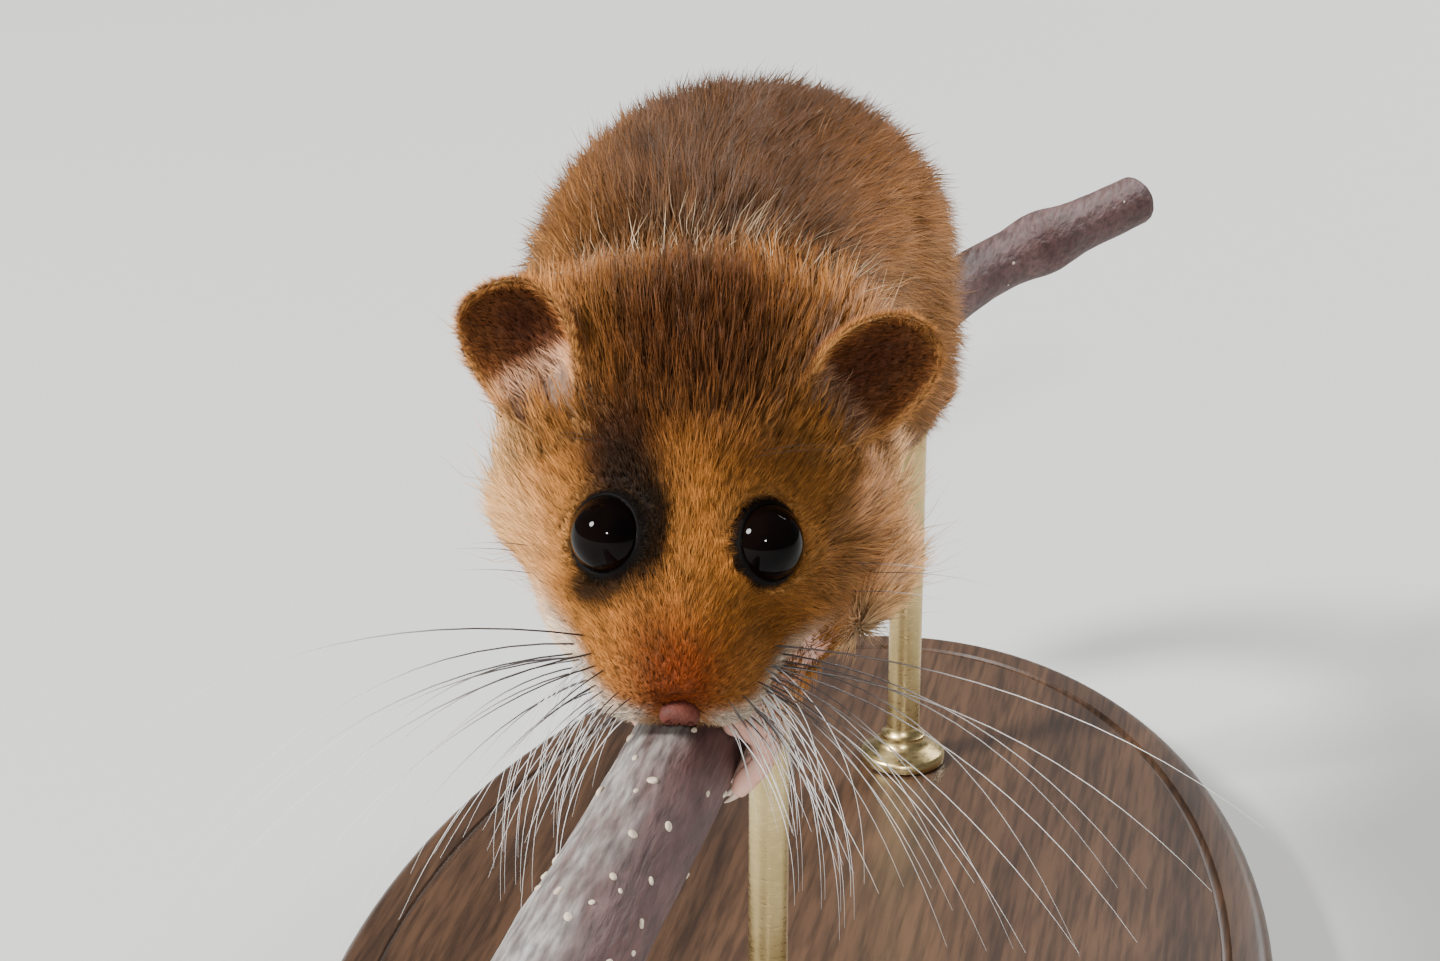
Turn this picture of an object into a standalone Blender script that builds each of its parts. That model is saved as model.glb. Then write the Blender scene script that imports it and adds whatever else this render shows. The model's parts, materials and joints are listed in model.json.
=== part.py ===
"""A hazel dormouse at life size, crouched head down on a cut length of twig, on a plain stand.

Every size below is in millimetres, and the finished nodes are scaled to metres at the end.
+Z is up and the animal faces -Y. The origin is the middle of the base's underside.
"""

import math

import bmesh
import bpy
import numpy as np
from mathutils import Matrix, Vector

MM = 0.001
GAP = 0.3
BLOCK = 120.0
X_AXIS = Vector((1, 0, 0))
Y_AXIS = Vector((0, 1, 0))
Z_AXIS = Vector((0, 0, 1))
LEFT, RIGHT = 1, -1

# Driving dimensions of the animal
HEAD_LENGTH = 25.0
HEAD_WIDTH = 23.5
BODY_LENGTH = 66.0
BODY_WIDTH = 26.0
BODY_HEIGHT = 26.8
TAIL_WIDTH = 9.5
EYE_DIAMETER = 4.3
EAR_LENGTH = 8.8
EAR_WIDTH = 6.8

# Pose
NOSE_Y = -45.0
NOSE_X = 1.0
NOSE_ABOVE_PERCH = 4.6
HEAD_PITCH = math.radians(40)
HEAD_YAW = math.radians(11)
HEAD_ROLL = math.radians(5.5)

# Perch and stand
PERCH_HEIGHT = 42.0
PERCH_FRONT = NOSE_Y - 24.0
PERCH_BACK = NOSE_Y + 110.0
PERCH_RADIUS = 3.1
PERCH_BACK_RADIUS = 2.3
BASE_LENGTH = 118.0
BASE_WIDTH = 66.0
BASE_THICKNESS = 6.0
BASE_EDGE = 1.2
ROD_RADIUS = 1.3
ROD_PLACES = {"stand_rod_front": NOSE_Y + 31.0, "stand_rod_back": NOSE_Y + 79.0}

# Fineness of the fused flesh, and the triangles that each node keeps
FLESH_VOXEL = 0.5
PAW_VOXEL = 0.17
TRIANGLES = {
    "torso": 1700,
    "neck": 480,
    "head": 1900,
    "hindleg": 440,
    "foreleg": 300,
    "hand": 420,
    "foot": 480,
    "ear": 420,
}

COLOURS = {
    "coat": (0.42, 0.20, 0.06, 0.85, 0.0),
    "belly": (0.72, 0.55, 0.33, 0.85, 0.0),
    "skin": (0.72, 0.42, 0.34, 0.55, 0.0),
    "eye": (0.01, 0.008, 0.008, 0.05, 0.0),
    "bark": (0.20, 0.12, 0.10, 0.75, 0.0),
    "base": (0.03, 0.025, 0.02, 0.35, 0.0),
    "rod": (0.55, 0.53, 0.48, 0.3, 1.0),
}


# Meshes


def mesh_object(name, points, faces):
    """A new object from points and faces, with its faces turned outwards."""
    mesh = bpy.data.meshes.new(name)
    mesh.from_pydata([tuple(p) for p in points], [], faces)
    form = bmesh.new()
    form.from_mesh(mesh)
    bmesh.ops.recalc_face_normals(form, faces=form.faces)
    bmesh.ops.triangulate(form, faces=form.faces)
    form.to_mesh(mesh)
    form.free()
    obj = bpy.data.objects.new(name, mesh)
    bpy.context.scene.collection.objects.link(obj)
    return obj


def remove(*objects):
    for obj in objects:
        mesh = obj.data
        bpy.data.objects.remove(obj)
        bpy.data.meshes.remove(mesh)


def copy_of(obj, name="copy"):
    twin = bpy.data.objects.new(name, obj.data.copy())
    bpy.context.scene.collection.objects.link(twin)
    return twin


def apply_modifiers(obj):
    """Gives the object the mesh that its modifiers make."""
    graph = bpy.context.evaluated_depsgraph_get()
    made = bpy.data.meshes.new_from_object(obj.evaluated_get(graph))
    old = obj.data
    obj.modifiers.clear()
    obj.data = made
    bpy.data.meshes.remove(old)
    return obj


def lofted(name, rings):
    """A closed skin through rings of equally many points, with a flat cap at each end."""
    sides = len(rings[0])
    points = [p for ring in rings for p in ring]
    faces = [tuple(range(sides)), tuple(range(len(points) - sides, len(points)))]
    for i in range(len(rings) - 1):
        for j in range(sides):
            k = (j + 1) % sides
            low, high = i * sides, (i + 1) * sides
            faces.append((low + j, low + k, high + k, high + j))
    return mesh_object(name, points, faces)


def section(centre, side, up, width, top, bottom, sides=28):
    """A ring of points: half an ellipse above the centre and another below it."""
    ring = []
    for k in range(sides):
        angle = 2 * math.pi * k / sides
        height = (top if math.sin(angle) > 0 else bottom) * math.sin(angle)
        ring.append(centre + side * (width * math.cos(angle)) + up * height)
    return ring


def through(rows, steps):
    """Rows on a smooth curve through the rows given, with this many steps from each to the next."""
    rows = np.array(rows, float)
    ends = np.vstack([2 * rows[0] - rows[1], rows, 2 * rows[-1] - rows[-2]])
    found = []
    for i in range(len(rows) - 1):
        a, b, c, d = ends[i : i + 4]
        for t in np.arange(steps) / steps:
            found.append(
                b
                + 0.5 * t * (c - a)
                + t**2 * (a - 2.5 * b + 2 * c - 0.5 * d)
                + t**3 * (1.5 * b - 0.5 * a - 1.5 * c + 0.5 * d)
            )
    return np.array([*found, rows[-1]])


def ring_of(centre, side, up, radius, sides):
    return section(centre, side, up, radius, radius, radius, sides)


def tube(name, rows, steps=4, sides=12, up=Z_AXIS):
    """A round-ended tube along rows of x, y, z and radius."""
    rows = through(rows, steps)
    path = [Vector(r[:3]) for r in rows]
    rings = []
    for i, (point, row) in enumerate(zip(path, rows)):
        along = (path[min(i + 1, len(path) - 1)] - path[max(i - 1, 0)]).normalized()
        side = along.cross(up).normalized()
        lift = side.cross(along)
        radius = row[3]
        if i in (0, len(path) - 1):
            out = along * (-1 if i == 0 else 1)
            dome = [(0.35, 0.93), (0.72, 0.69), (0.95, 0.3)]
            domed = [ring_of(point + out * (radius * o), side, lift, radius * w, sides) for o, w in dome]
            ring = ring_of(point, side, lift, radius, sides)
            rings += domed[::-1] + [ring] if i == 0 else [ring] + domed
        else:
            rings.append(ring_of(point, side, lift, radius, sides))
    return lofted(name, rings)


def ellipsoid(name, radii, place, segments=28):
    """An ellipsoid of these radii, put in place by a matrix or at a point."""
    form = bmesh.new()
    bmesh.ops.create_uvsphere(form, u_segments=segments, v_segments=segments // 2, radius=1.0)
    bmesh.ops.triangulate(form, faces=form.faces)
    mesh = bpy.data.meshes.new(name)
    form.to_mesh(mesh)
    form.free()
    if not isinstance(place, Matrix):
        place = Matrix.Translation(place)
    mesh.transform(place @ Matrix.Diagonal((*radii, 1.0)))
    obj = bpy.data.objects.new(name, mesh)
    bpy.context.scene.collection.objects.link(obj)
    return obj


def joined(name, pieces):
    """One object that holds all the pieces, which are removed."""
    form = bmesh.new()
    for piece in pieces:
        form.from_mesh(piece.data)
    mesh = bpy.data.meshes.new(name)
    form.to_mesh(mesh)
    form.free()
    remove(*pieces)
    obj = bpy.data.objects.new(name, mesh)
    bpy.context.scene.collection.objects.link(obj)
    return obj


def keep_largest(obj):
    """Drops every loose scrap but the largest closed surface."""
    form = bmesh.new()
    form.from_mesh(obj.data)
    seen, islands = set(), []
    for start in form.verts:
        if start in seen:
            continue
        seen.add(start)
        island, edge = [start], [start]
        while edge:
            for link in edge.pop().link_edges:
                for vert in link.verts:
                    if vert not in seen:
                        seen.add(vert)
                        island.append(vert)
                        edge.append(vert)
        islands.append(island)
    largest = max(islands, key=len)
    loose = [v for island in islands if island is not largest for v in island]
    bmesh.ops.delete(form, geom=loose, context="VERTS")
    form.to_mesh(obj.data)
    form.free()
    return obj


def clean(obj, merge=0.012):
    """Merges what a cut leaves almost touching, where the body stays closed by it."""
    form = bmesh.new()
    form.from_mesh(obj.data)
    bmesh.ops.remove_doubles(form, verts=form.verts, dist=merge)
    bmesh.ops.dissolve_degenerate(form, edges=form.edges, dist=merge)
    bmesh.ops.triangulate(form, faces=form.faces)
    if all(len(edge.link_faces) == 2 for edge in form.edges):
        form.to_mesh(obj.data)
    form.free()
    return obj


def fused(name, pieces, voxel, rounds):
    """The pieces as one body, blended where they meet: voxels first, then smoothing."""
    obj = joined(name, pieces)
    remesh = obj.modifiers.new("remesh", "REMESH")
    remesh.mode = "VOXEL"
    remesh.voxel_size = voxel
    smooth = obj.modifiers.new("smooth", "SMOOTH")
    smooth.factor = 0.5
    smooth.iterations = rounds
    return keep_largest(apply_modifiers(obj))


def thinned(obj, triangles):
    """Keeps about this many triangles, most of them where the form curves."""
    form = bmesh.new()
    form.from_mesh(obj.data)
    bmesh.ops.triangulate(form, faces=form.faces)
    form.to_mesh(obj.data)
    form.free()
    count = len(obj.data.polygons)
    if count > triangles:
        decimate = obj.modifiers.new("decimate", "DECIMATE")
        decimate.ratio = triangles / count
        apply_modifiers(obj)
    return obj


def grown(obj, by):
    """A copy of the object with its surface moved out by this much."""
    twin = copy_of(obj)
    displace = twin.modifiers.new("displace", "DISPLACE")
    displace.strength = by
    displace.mid_level = 0.0
    return apply_modifiers(twin)


def combine(obj, other, operation, solver="EXACT"):
    boolean = obj.modifiers.new("boolean", "BOOLEAN")
    boolean.operation = operation
    boolean.solver = solver
    boolean.object = other
    return apply_modifiers(obj)


def clear_of(obj, *neighbours, gap=GAP):
    """Cuts the object back so that it meets each neighbour with a small gap."""
    for neighbour in neighbours:
        cutter = grown(neighbour, gap)
        combine(obj, cutter, "DIFFERENCE")
        remove(cutter)
    return clean(keep_largest(obj))


def slab(point, normal):
    """A cube larger than any node, square to the normal, for cutting a body off flat."""
    turn = Vector(normal).to_track_quat("Z", "Y").to_matrix().to_4x4()
    form = bmesh.new()
    bmesh.ops.create_cube(form, size=BLOCK)
    mesh = bpy.data.meshes.new("slab")
    form.to_mesh(mesh)
    form.free()
    mesh.transform(Matrix.Translation(point) @ turn)
    obj = bpy.data.objects.new("slab", mesh)
    bpy.context.scene.collection.objects.link(obj)
    return obj


def trimmed(obj, point, normal, gap=GAP):
    """Cuts a body off flat at a point, half a gap short of it, and drops what lies ahead."""
    cut = Vector(normal).normalized()
    block = slab(Vector(point) + cut * (BLOCK / 2 - gap / 2), cut)
    combine(obj, block, "DIFFERENCE")
    remove(block)
    return keep_largest(obj)


def halves(obj, point, normal, names):
    """Parts a body with a thin cut, into what lies behind the normal and what lies ahead."""
    parts = []
    for name, way in zip(names, (1, -1)):
        half = copy_of(obj, name)
        half.name = name
        parts.append(trimmed(half, point, Vector(normal) * way))
    remove(obj)
    return parts


# The perch and the stand


def perch_at(y):
    """The middle of the perch at this y, and its radius there."""
    rows = through(PERCH_LINE, 12)
    x, z, radius = (float(np.interp(y, rows[:, 1], rows[:, k])) for k in (0, 2, 3))
    return Vector((x, y, z)), radius


PERCH_LINE = [
    (-0.9, PERCH_FRONT, PERCH_HEIGHT, PERCH_RADIUS * 1.04),
    (-0.1, NOSE_Y, PERCH_HEIGHT, PERCH_RADIUS),
    (0.0, NOSE_Y + 30, PERCH_HEIGHT + 0.2, PERCH_RADIUS * 0.97),
    (0.2, NOSE_Y + 58, PERCH_HEIGHT, PERCH_RADIUS * 0.9),
    (1.6, NOSE_Y + 76, PERCH_HEIGHT + 0.5, PERCH_RADIUS * 0.82),
    (5.6, NOSE_Y + 91, PERCH_HEIGHT + 1.5, PERCH_BACK_RADIUS),
    (16.5, PERCH_BACK, PERCH_HEIGHT + 3.0, PERCH_BACK_RADIUS * 0.93),
]
KNOTS = [(NOSE_Y + 69, 0.5), (NOSE_Y + 99, 0.45), (PERCH_FRONT + 8, 0.12)]
KNOT_SPREAD = 2.6


def make_perch():
    """A twig with slight knots, cut square at both ends."""
    rows = through(PERCH_LINE, 5)
    path = [Vector(r[:3]) for r in rows]
    rings = []
    for i, (point, row) in enumerate(zip(path, rows)):
        along = (path[min(i + 1, len(path) - 1)] - path[max(i - 1, 0)]).normalized()
        side = along.cross(Z_AXIS).normalized()
        up = side.cross(along)
        radius = row[3]
        for place, rise in KNOTS:
            radius += rise * math.exp(-(((point.y - place) / KNOT_SPREAD) ** 2))
        rings.append(section(point, side, up, radius, radius, radius, 14))
    return lofted("perch", rings)


def turned(name, profile, place, sides=14):
    """A solid of revolution about a vertical axis, from radius and height pairs."""
    rings = []
    for radius, height in profile:
        centre = Vector(place) + Z_AXIS * height
        rings.append(section(centre, X_AXIS, Y_AXIS, radius, radius, radius, sides))
    return lofted(name, rings)


def make_stand(perch):
    """An oval base, and two rods with a foot and a cup that the perch rests in."""
    outline = [(0.5, 0.0), (0.0, 0.5), (0.0, BASE_THICKNESS - BASE_EDGE)]
    for angle in (math.radians(30), math.radians(60), math.radians(90)):
        inset = BASE_EDGE * (1 - math.cos(angle))
        outline.append((inset, BASE_THICKNESS - BASE_EDGE * (1 - math.sin(angle))))
    rings = []
    for inset, height in outline:
        half_length, half_width = BASE_LENGTH / 2 - inset, BASE_WIDTH / 2 - inset
        rings.append(section(Z_AXIS * height, Y_AXIS, X_AXIS, half_length, half_width, half_width, 44))
    nodes = [lofted("stand_base", rings)]
    for name, y in ROD_PLACES.items():
        middle, radius = perch_at(y)
        foot = BASE_THICKNESS + GAP
        top = middle.z - radius * 0.35
        profile = [
            (ROD_RADIUS * 2.6, foot),
            (ROD_RADIUS * 2.6, foot + 0.9),
            (ROD_RADIUS * 1.5, foot + 1.8),
            (ROD_RADIUS, foot + 3.0),
            (ROD_RADIUS, top - 5.0),
            (ROD_RADIUS * 1.3, top - 3.6),
            (ROD_RADIUS * 2.0, top - 1.4),
            (ROD_RADIUS * 2.2, top),
        ]
        rod = turned(name, profile, (middle.x, y, 0))
        nodes.append(clear_of(rod, perch))
    return nodes


# The head


HEAD_PLACE = (
    Matrix.Translation((NOSE_X, NOSE_Y, PERCH_HEIGHT + NOSE_ABOVE_PERCH))
    @ Matrix.Rotation(HEAD_YAW, 4, "Z")
    @ Matrix.Rotation(HEAD_PITCH, 4, "X")
    @ Matrix.Rotation(HEAD_ROLL, 4, "Y")
)
# In the head's own frame, x is to the animal's left, y back from the nose tip and z up.
# Shares of the head's length back from the nose, and of its width: half width, top, bottom.
SKULL_SHARES = [
    (0.015, 0.050, 0.048, 0.050),
    (0.060, 0.096, 0.082, 0.098),
    (0.160, 0.138, 0.128, 0.150),
    (0.280, 0.190, 0.192, 0.225),
    (0.412, 0.245, 0.262, 0.300),
    (0.520, 0.325, 0.315, 0.355),
    (0.640, 0.408, 0.360, 0.385),
    (0.800, 0.468, 0.390, 0.400),
    (1.000, 0.490, 0.415, 0.415),
]
EYE_PLACE = Vector((4.1, 9.15, 3.05))
EYE_FACING = Vector((0.60, -0.32, 0.73)).normalized()
ORBIT_RADIUS = 2.8
ORBIT_OFFSET = 2.5
LID_SPREAD, LID_RISE, LID_THICKNESS = 1.1, 0.22, 0.48
EAR_ROOT = Vector((8.0, 16.7, 4.6))


def mirrored(point, side):
    return Vector((point[0] * side, point[1], point[2]))


def head_ellipsoid(name, radii, centre, side=1, turn=0.0, segments=28):
    """An ellipsoid in the head's frame, its front end turned in towards the midline."""
    place = HEAD_PLACE @ Matrix.Translation(mirrored(centre, side)) @ Matrix.Rotation(-turn * side, 4, "Z")
    return ellipsoid(name, radii, place, segments)


def head_masses():
    """The skull, jaw, throat, whisker pads, cheeks and jowls."""
    rings = []
    for y, width, top, bottom in through(SKULL_SHARES, 3):
        ring = section(
            Vector((0, y * HEAD_LENGTH, 0)),
            X_AXIS,
            Z_AXIS,
            width * HEAD_WIDTH,
            top * HEAD_WIDTH,
            bottom * HEAD_WIDTH,
        )
        rings.append([HEAD_PLACE @ p for p in ring])
    masses = [lofted("skull", rings)]
    masses.append(head_ellipsoid("jaw", (2.5, 5.4, 2.2), (0, 6.4, -4.3)))
    masses.append(head_ellipsoid("throat", (5.6, 6.5, 4.2), (0, 13.5, -5.6)))
    for side in (LEFT, RIGHT):
        masses.append(head_ellipsoid("pad", (2.35, 3.6, 2.3), (2.05, 3.7, -1.5), side, 0.25))
        masses.append(head_ellipsoid("cheek", (4.7, 7.8, 5.6), (5.3, 14.4, -2.3), side, 0.45))
        masses.append(head_ellipsoid("jowl", (3.3, 5.6, 3.9), (3.9, 8.6, -2.5), side, 0.5))
    return masses


def eye_centre(side):
    return HEAD_PLACE @ mirrored(EYE_PLACE, side)


def eye_facing(side):
    return HEAD_PLACE.to_3x3() @ mirrored(EYE_FACING, side)


def hollow_orbits(flesh):
    """Sinks a shallow dish round each eye, so that the eyeball stands free in it."""
    for side in (LEFT, RIGHT):
        place = eye_centre(side) + eye_facing(side) * ORBIT_OFFSET
        dish = ellipsoid("dish", (ORBIT_RADIUS,) * 3, place)
        combine(flesh, dish, "DIFFERENCE")
        remove(dish)
    return fused("flesh", [flesh], FLESH_VOXEL, 3)


def lid_ring(side, radius, sink):
    """Points round an eye's opening, on the eyeball's own surface."""
    centre, facing = eye_centre(side), eye_facing(side)
    back = HEAD_PLACE.to_3x3() @ Y_AXIS
    across = facing.cross(back).normalized()
    over = across.cross(facing)
    ring = []
    for k in range(18):
        angle = 2 * math.pi * k / 18
        ring.append(centre + facing * sink + (across * math.cos(angle) + over * math.sin(angle)) * radius)
    return ring


def closed_tube(name, points, radius, sides=6):
    """A ring-shaped tube along a closed line of points."""
    count = len(points)
    middle = sum(points, Vector()) / count
    verts = []
    for i, point in enumerate(points):
        along = (points[(i + 1) % count] - points[i - 1]).normalized()
        out = (point - middle).normalized()
        lift = along.cross(out).normalized()
        verts += section(point, out, lift, radius, radius, radius, sides)
    faces = []
    for i in range(count):
        for j in range(sides):
            k, low, high = (j + 1) % sides, i * sides, (i + 1) % count * sides
            faces.append((low + j, low + k, high + k, high + j))
    return mesh_object(name, verts, faces)


def eye_radius():
    return EYE_DIAMETER / 2


def finish_head(head):
    """Opens the eye sockets and the mouth line, and raises a lid round each eye."""
    radius = eye_radius()
    for side in (LEFT, RIGHT):
        lid = closed_tube("lid", lid_ring(side, radius * LID_SPREAD, radius * LID_RISE), LID_THICKNESS)
        combine(head, lid, "UNION")
        remove(lid)
        socket = ellipsoid("socket", (radius + GAP,) * 3, eye_centre(side), 16)
        combine(head, socket, "DIFFERENCE")
        remove(socket)
    lip = mouth_line(head)
    combine(head, lip, "DIFFERENCE")
    remove(lip)
    return clean(keep_largest(head))


MOUTH_FRONT, MOUTH_CORNER = 1.6, 7.0
LIP_HEIGHTS = (-1.75, -2.75, -2.2)
LIP_GROOVE = 0.34
LIP_POINTS = 21


def mouth_line(head):
    """The groove between the lips, laid on the muzzle from one corner round the front to the other."""
    turn = HEAD_PLACE.to_3x3()
    rows = []
    for share in np.linspace(-1, 1, LIP_POINTS):
        angle = math.radians(82) * share
        back = MOUTH_FRONT + (MOUTH_CORNER - MOUTH_FRONT) * abs(share)
        height = float(np.interp(abs(share), (0, 0.5, 1), LIP_HEIGHTS))
        aim = Vector((math.sin(angle), -math.cos(angle), 0))
        start = HEAD_PLACE @ (Vector((0, back, height)) + aim * 12)
        hit, where, _, _ = head.ray_cast(start, -(turn @ aim))
        if hit:
            rows.append((*where, LIP_GROOVE))
    return tube("lip", rows, 1, 6)


def make_nose(head):
    """The bare nose pad, with a nostril on each side."""
    pad = head_ellipsoid("nose_top", (1.15, 0.95, 0.80), (0, 0.40, 0.05))
    sides = [head_ellipsoid("nose_side", (0.60, 0.8, 0.68), (0.68, 0.38, -0.25), s) for s in (LEFT, RIGHT)]
    nose = fused("nose", [pad, *sides], 0.12, 2)
    thinned(nose, 260)
    for side in (LEFT, RIGHT):
        nostril = head_ellipsoid("nostril", (0.24, 0.6, 0.33), (0.76, -0.40, -0.22), side, -0.5, 10)
        combine(nose, nostril, "DIFFERENCE")
        remove(nostril)
    clear_of(head, nose)
    return clean(keep_largest(nose))


# The ears


EAR_POSES = {
    LEFT: {"tip": (0.74, 0.48, 0.46), "opening": (0.16, -0.66, 0.60)},
    RIGHT: {"tip": (0.56, 0.61, 0.56), "opening": (0.30, -0.70, 0.50)},
}
EAR_SUNK = 2.3
EAR_THICKNESS = 0.62
# Share of the ear's length from its root, of its half width, and the half turn that it wraps round.
EAR_SHARES = [
    (0.00, 0.50, 118),
    (0.15, 0.62, 104),
    (0.35, 0.84, 82),
    (0.60, 1.00, 62),
    (0.80, 0.90, 52),
    (0.93, 0.62, 46),
    (1.00, 0.22, 42),
]


def ear_surface(rows, across, offset):
    """One face of the ear: a cup that wraps closely at its root and opens out to a round tip."""
    points = []
    for share, width, wrap in rows:
        half_turn = math.radians(wrap)
        half_width = width * EAR_WIDTH / 2
        radius = half_width / math.sin(min(half_turn, math.pi / 2))
        for k in range(across + 1):
            angle = half_turn * (2 * k / across - 1)
            x = (radius + offset) * math.sin(angle)
            depth = (radius + offset) * math.cos(angle) - radius * math.cos(half_turn) * 0.6
            points.append(Vector((x, share * EAR_LENGTH, -depth)))
    return points


def make_ear(name, side, head, neck):
    """An ear as thick as the real one, set in the head and cut clear of it."""
    pose = EAR_POSES[side]
    tip = mirrored(pose["tip"], side).normalized()
    opening = mirrored(pose["opening"], side).normalized()
    width = tip.cross(opening).normalized()
    opening = width.cross(tip)
    frame = Matrix((width, tip, opening)).transposed().to_4x4()
    place = HEAD_PLACE @ Matrix.Translation(mirrored(EAR_ROOT, side) - tip * EAR_SUNK) @ frame
    rows, across = through(EAR_SHARES, 2), 12
    inner, outer = ear_surface(rows, across, 0.0), ear_surface(rows, across, EAR_THICKNESS)
    points = [place @ p for p in inner + outer]
    wide, count = across + 1, len(inner)
    faces = []
    for i in range(len(rows) - 1):
        for k in range(across):
            a = i * wide + k
            b, c, d = a + 1, a + wide + 1, a + wide
            faces += [(a, b, c), (a, c, d), (count + a, count + c, count + b), (count + a, count + d, count + c)]
        for k in (0, across):
            a = i * wide + k
            faces.append((a, a + wide, count + a + wide, count + a))
    for i in (0, len(rows) - 1):
        for k in range(across):
            a = i * wide + k
            faces.append((a, a + 1, count + a + 1, count + a))
    ear = mesh_object(name, points, faces)
    lobe = ellipsoid("lobe", (1.0, 2.2, 1.3), place @ Matrix.Translation((0, 2.6, -2.6)))
    ear = fused(name, [ear, lobe], 0.2, 2)
    thinned(ear, TRIANGLES["ear"])
    return clear_of(ear, head, neck)


def make_eye(name, side):
    return ellipsoid(name, (eye_radius(),) * 3, eye_centre(side), 18)


# The torso, neck and legs


# Back from the nose, to the side, height of the middle above the perch's middle,
# then half width, rise and drop as shares of the body's width and height.
TORSO_ROWS = [
    (14.0, -0.4, 16.2, 0.34, 0.33, 0.28),
    (21.0, -2.0, 17.0, 0.43, 0.42, 0.40),
    (29.0, -3.6, 16.6, 0.475, 0.462, 0.485),
    (38.0, -4.6, 16.0, 0.50, 0.482, 0.50),
    (47.0, -4.4, 15.4, 0.51, 0.480, 0.47),
    (55.0, -3.2, 14.2, 0.465, 0.44, 0.41),
    (61.5, -1.6, 12.6, 0.36, 0.33, 0.31),
    (BODY_LENGTH, -0.4, 11.2, 0.18, 0.17, 0.165),
]
HAUNCH_RADII = (5.4, 10.2, 9.4)
HAUNCH = Vector((8.2, NOSE_Y + 49.5, PERCH_HEIGHT + 11.0))
SHOULDER_RADII = (4.4, 6.6, 7.4)
SHOULDER = Vector((7.2, NOSE_Y + 22.5, PERCH_HEIGHT + 13.0))


def torso_masses():
    rings = []
    for back, aside, height, width, rise, drop in through(TORSO_ROWS, 4):
        centre = Vector((aside, NOSE_Y + back, PERCH_HEIGHT + height))
        rings.append(
            section(centre, X_AXIS, Z_AXIS, width * BODY_WIDTH, rise * BODY_HEIGHT, drop * BODY_HEIGHT, 32)
        )
    masses = [lofted("trunk", rings)]
    for side in (LEFT, RIGHT):
        masses.append(ellipsoid("haunch", HAUNCH_RADII, beside(HAUNCH, side)))
        masses.append(ellipsoid("shoulder", SHOULDER_RADII, beside(SHOULDER, side)))
    masses.append(tube("tail_root", [(*p, r) for p, r in zip(tail_line()[:3], (4.6, 4.3, 3.9))], 3, 16))
    return masses


def body_lean(y):
    """How far to the side the middle of the body lies at this y."""
    rows = np.array(TORSO_ROWS)
    return float(np.interp(y - NOSE_Y, rows[:, 0], rows[:, 1]))


def beside(point, side):
    """A point of the body on one side, moved with the body's own lean."""
    return Vector((point.x * side + body_lean(point.y), point.y, point.z))


# The tail


# From its root: to the side, back from the nose, height above the perch's middle.
TAIL_ROWS = [
    (-1.2, 60.5, 11.4),
    (-0.2, 66.5, 9.4),
    (0.6, 72.5, 7.9),
    (-0.4, 79.5, 7.3),
    (-3.0, 86.5, 6.2),
    (-6.2, 92.5, 2.4),
    (-8.4, 96.6, -4.0),
    (-9.6, 98.4, -11.5),
    (-9.6, 97.6, -17.6),
]
TAIL_CUTS = (0.0, 0.36, 0.68, 1.0)


def tail_line():
    return [Vector((x, NOSE_Y + back, PERCH_HEIGHT + height)) for x, back, height in TAIL_ROWS]


def tail_radius(share):
    """The furred tail's half width: slim at the root, fullest past the middle, with a blunt brush tip."""
    fullness = 0.84 + 0.16 * math.sin(math.pi * min(share * 1.1, 1.0))
    closing = math.sqrt(max(0.0, 1.0 - max(0.0, (share - 0.82) / 0.18) ** 2.4))
    return TAIL_WIDTH / 2 * fullness * max(closing, 0.12)


def make_tail(torso, perch):
    """The tail in three lengths, each with a thin gap to the next."""
    line = [Vector(p) for p in through(tail_line(), 4)]
    reach = [0.0]
    for a, b in zip(line, line[1:]):
        reach.append(reach[-1] + (b - a).length)
    rings = []
    for i, point in enumerate(line):
        share = reach[i] / reach[-1]
        along = (line[min(i + 1, len(line) - 1)] - line[max(i - 1, 0)]).normalized()
        radius = tail_radius(share)
        ring = section(point, X_AXIS, X_AXIS.cross(along).normalized(), radius, radius, radius, 14)
        rings.append((share, ring, along, point))
    whole = lofted("tail", [r[1] for r in rings])
    pieces = []
    for index in range(2):
        share = TAIL_CUTS[index + 1]
        nearest = min(range(len(rings)), key=lambda i: abs(rings[i][0] - share))
        first, whole = halves(whole, rings[nearest][3], rings[nearest][2], (f"tail_{index + 1}", "tail"))
        pieces.append(first)
    whole.name = "tail_3"
    pieces.append(whole)
    clear_of(pieces[0], torso)
    return [clear_of(piece, perch) for piece in pieces]


# Hands and feet


GRIPS = {
    "hand_left": {
        "side": LEFT, "back": 6.4, "digits": 4, "from": 52, "to": 124, "root": 1.05, "tip": 1.5, "lean": 0.4,
        "radius": 0.56, "palm": 1.45, "wrist": (5.4, 9.6, 5.6), "claw": 0.75,
    },
    "hand_right": {
        "side": RIGHT, "back": 13.5, "digits": 4, "from": 50, "to": 122, "root": 1.05, "tip": 1.5, "lean": -0.5,
        "radius": 0.56, "palm": 1.45, "wrist": (5.4, 16.6, 5.8), "claw": 0.75,
    },
    "foot_left": {
        "side": LEFT, "back": 44.0, "digits": 5, "from": 66, "to": 138, "root": 1.05, "tip": 1.8, "lean": -1.6,
        "radius": 0.58, "palm": 1.5, "wrist": (6.0, 55.0, 3.6), "claw": 0.85,
    },
    "foot_right": {
        "side": RIGHT, "back": 46.0, "digits": 5, "from": 66, "to": 138, "root": 1.05, "tip": 1.8, "lean": -1.6,
        "radius": 0.58, "palm": 1.5, "wrist": (6.2, 57.0, 3.6), "claw": 0.85,
    },
}


def round_perch(y, angle, distance, side):
    """A point at an angle from the perch's top, this far from its middle."""
    middle, _ = perch_at(y)
    return middle + Vector((math.sin(angle) * side * distance, 0, math.cos(angle) * distance))


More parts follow.
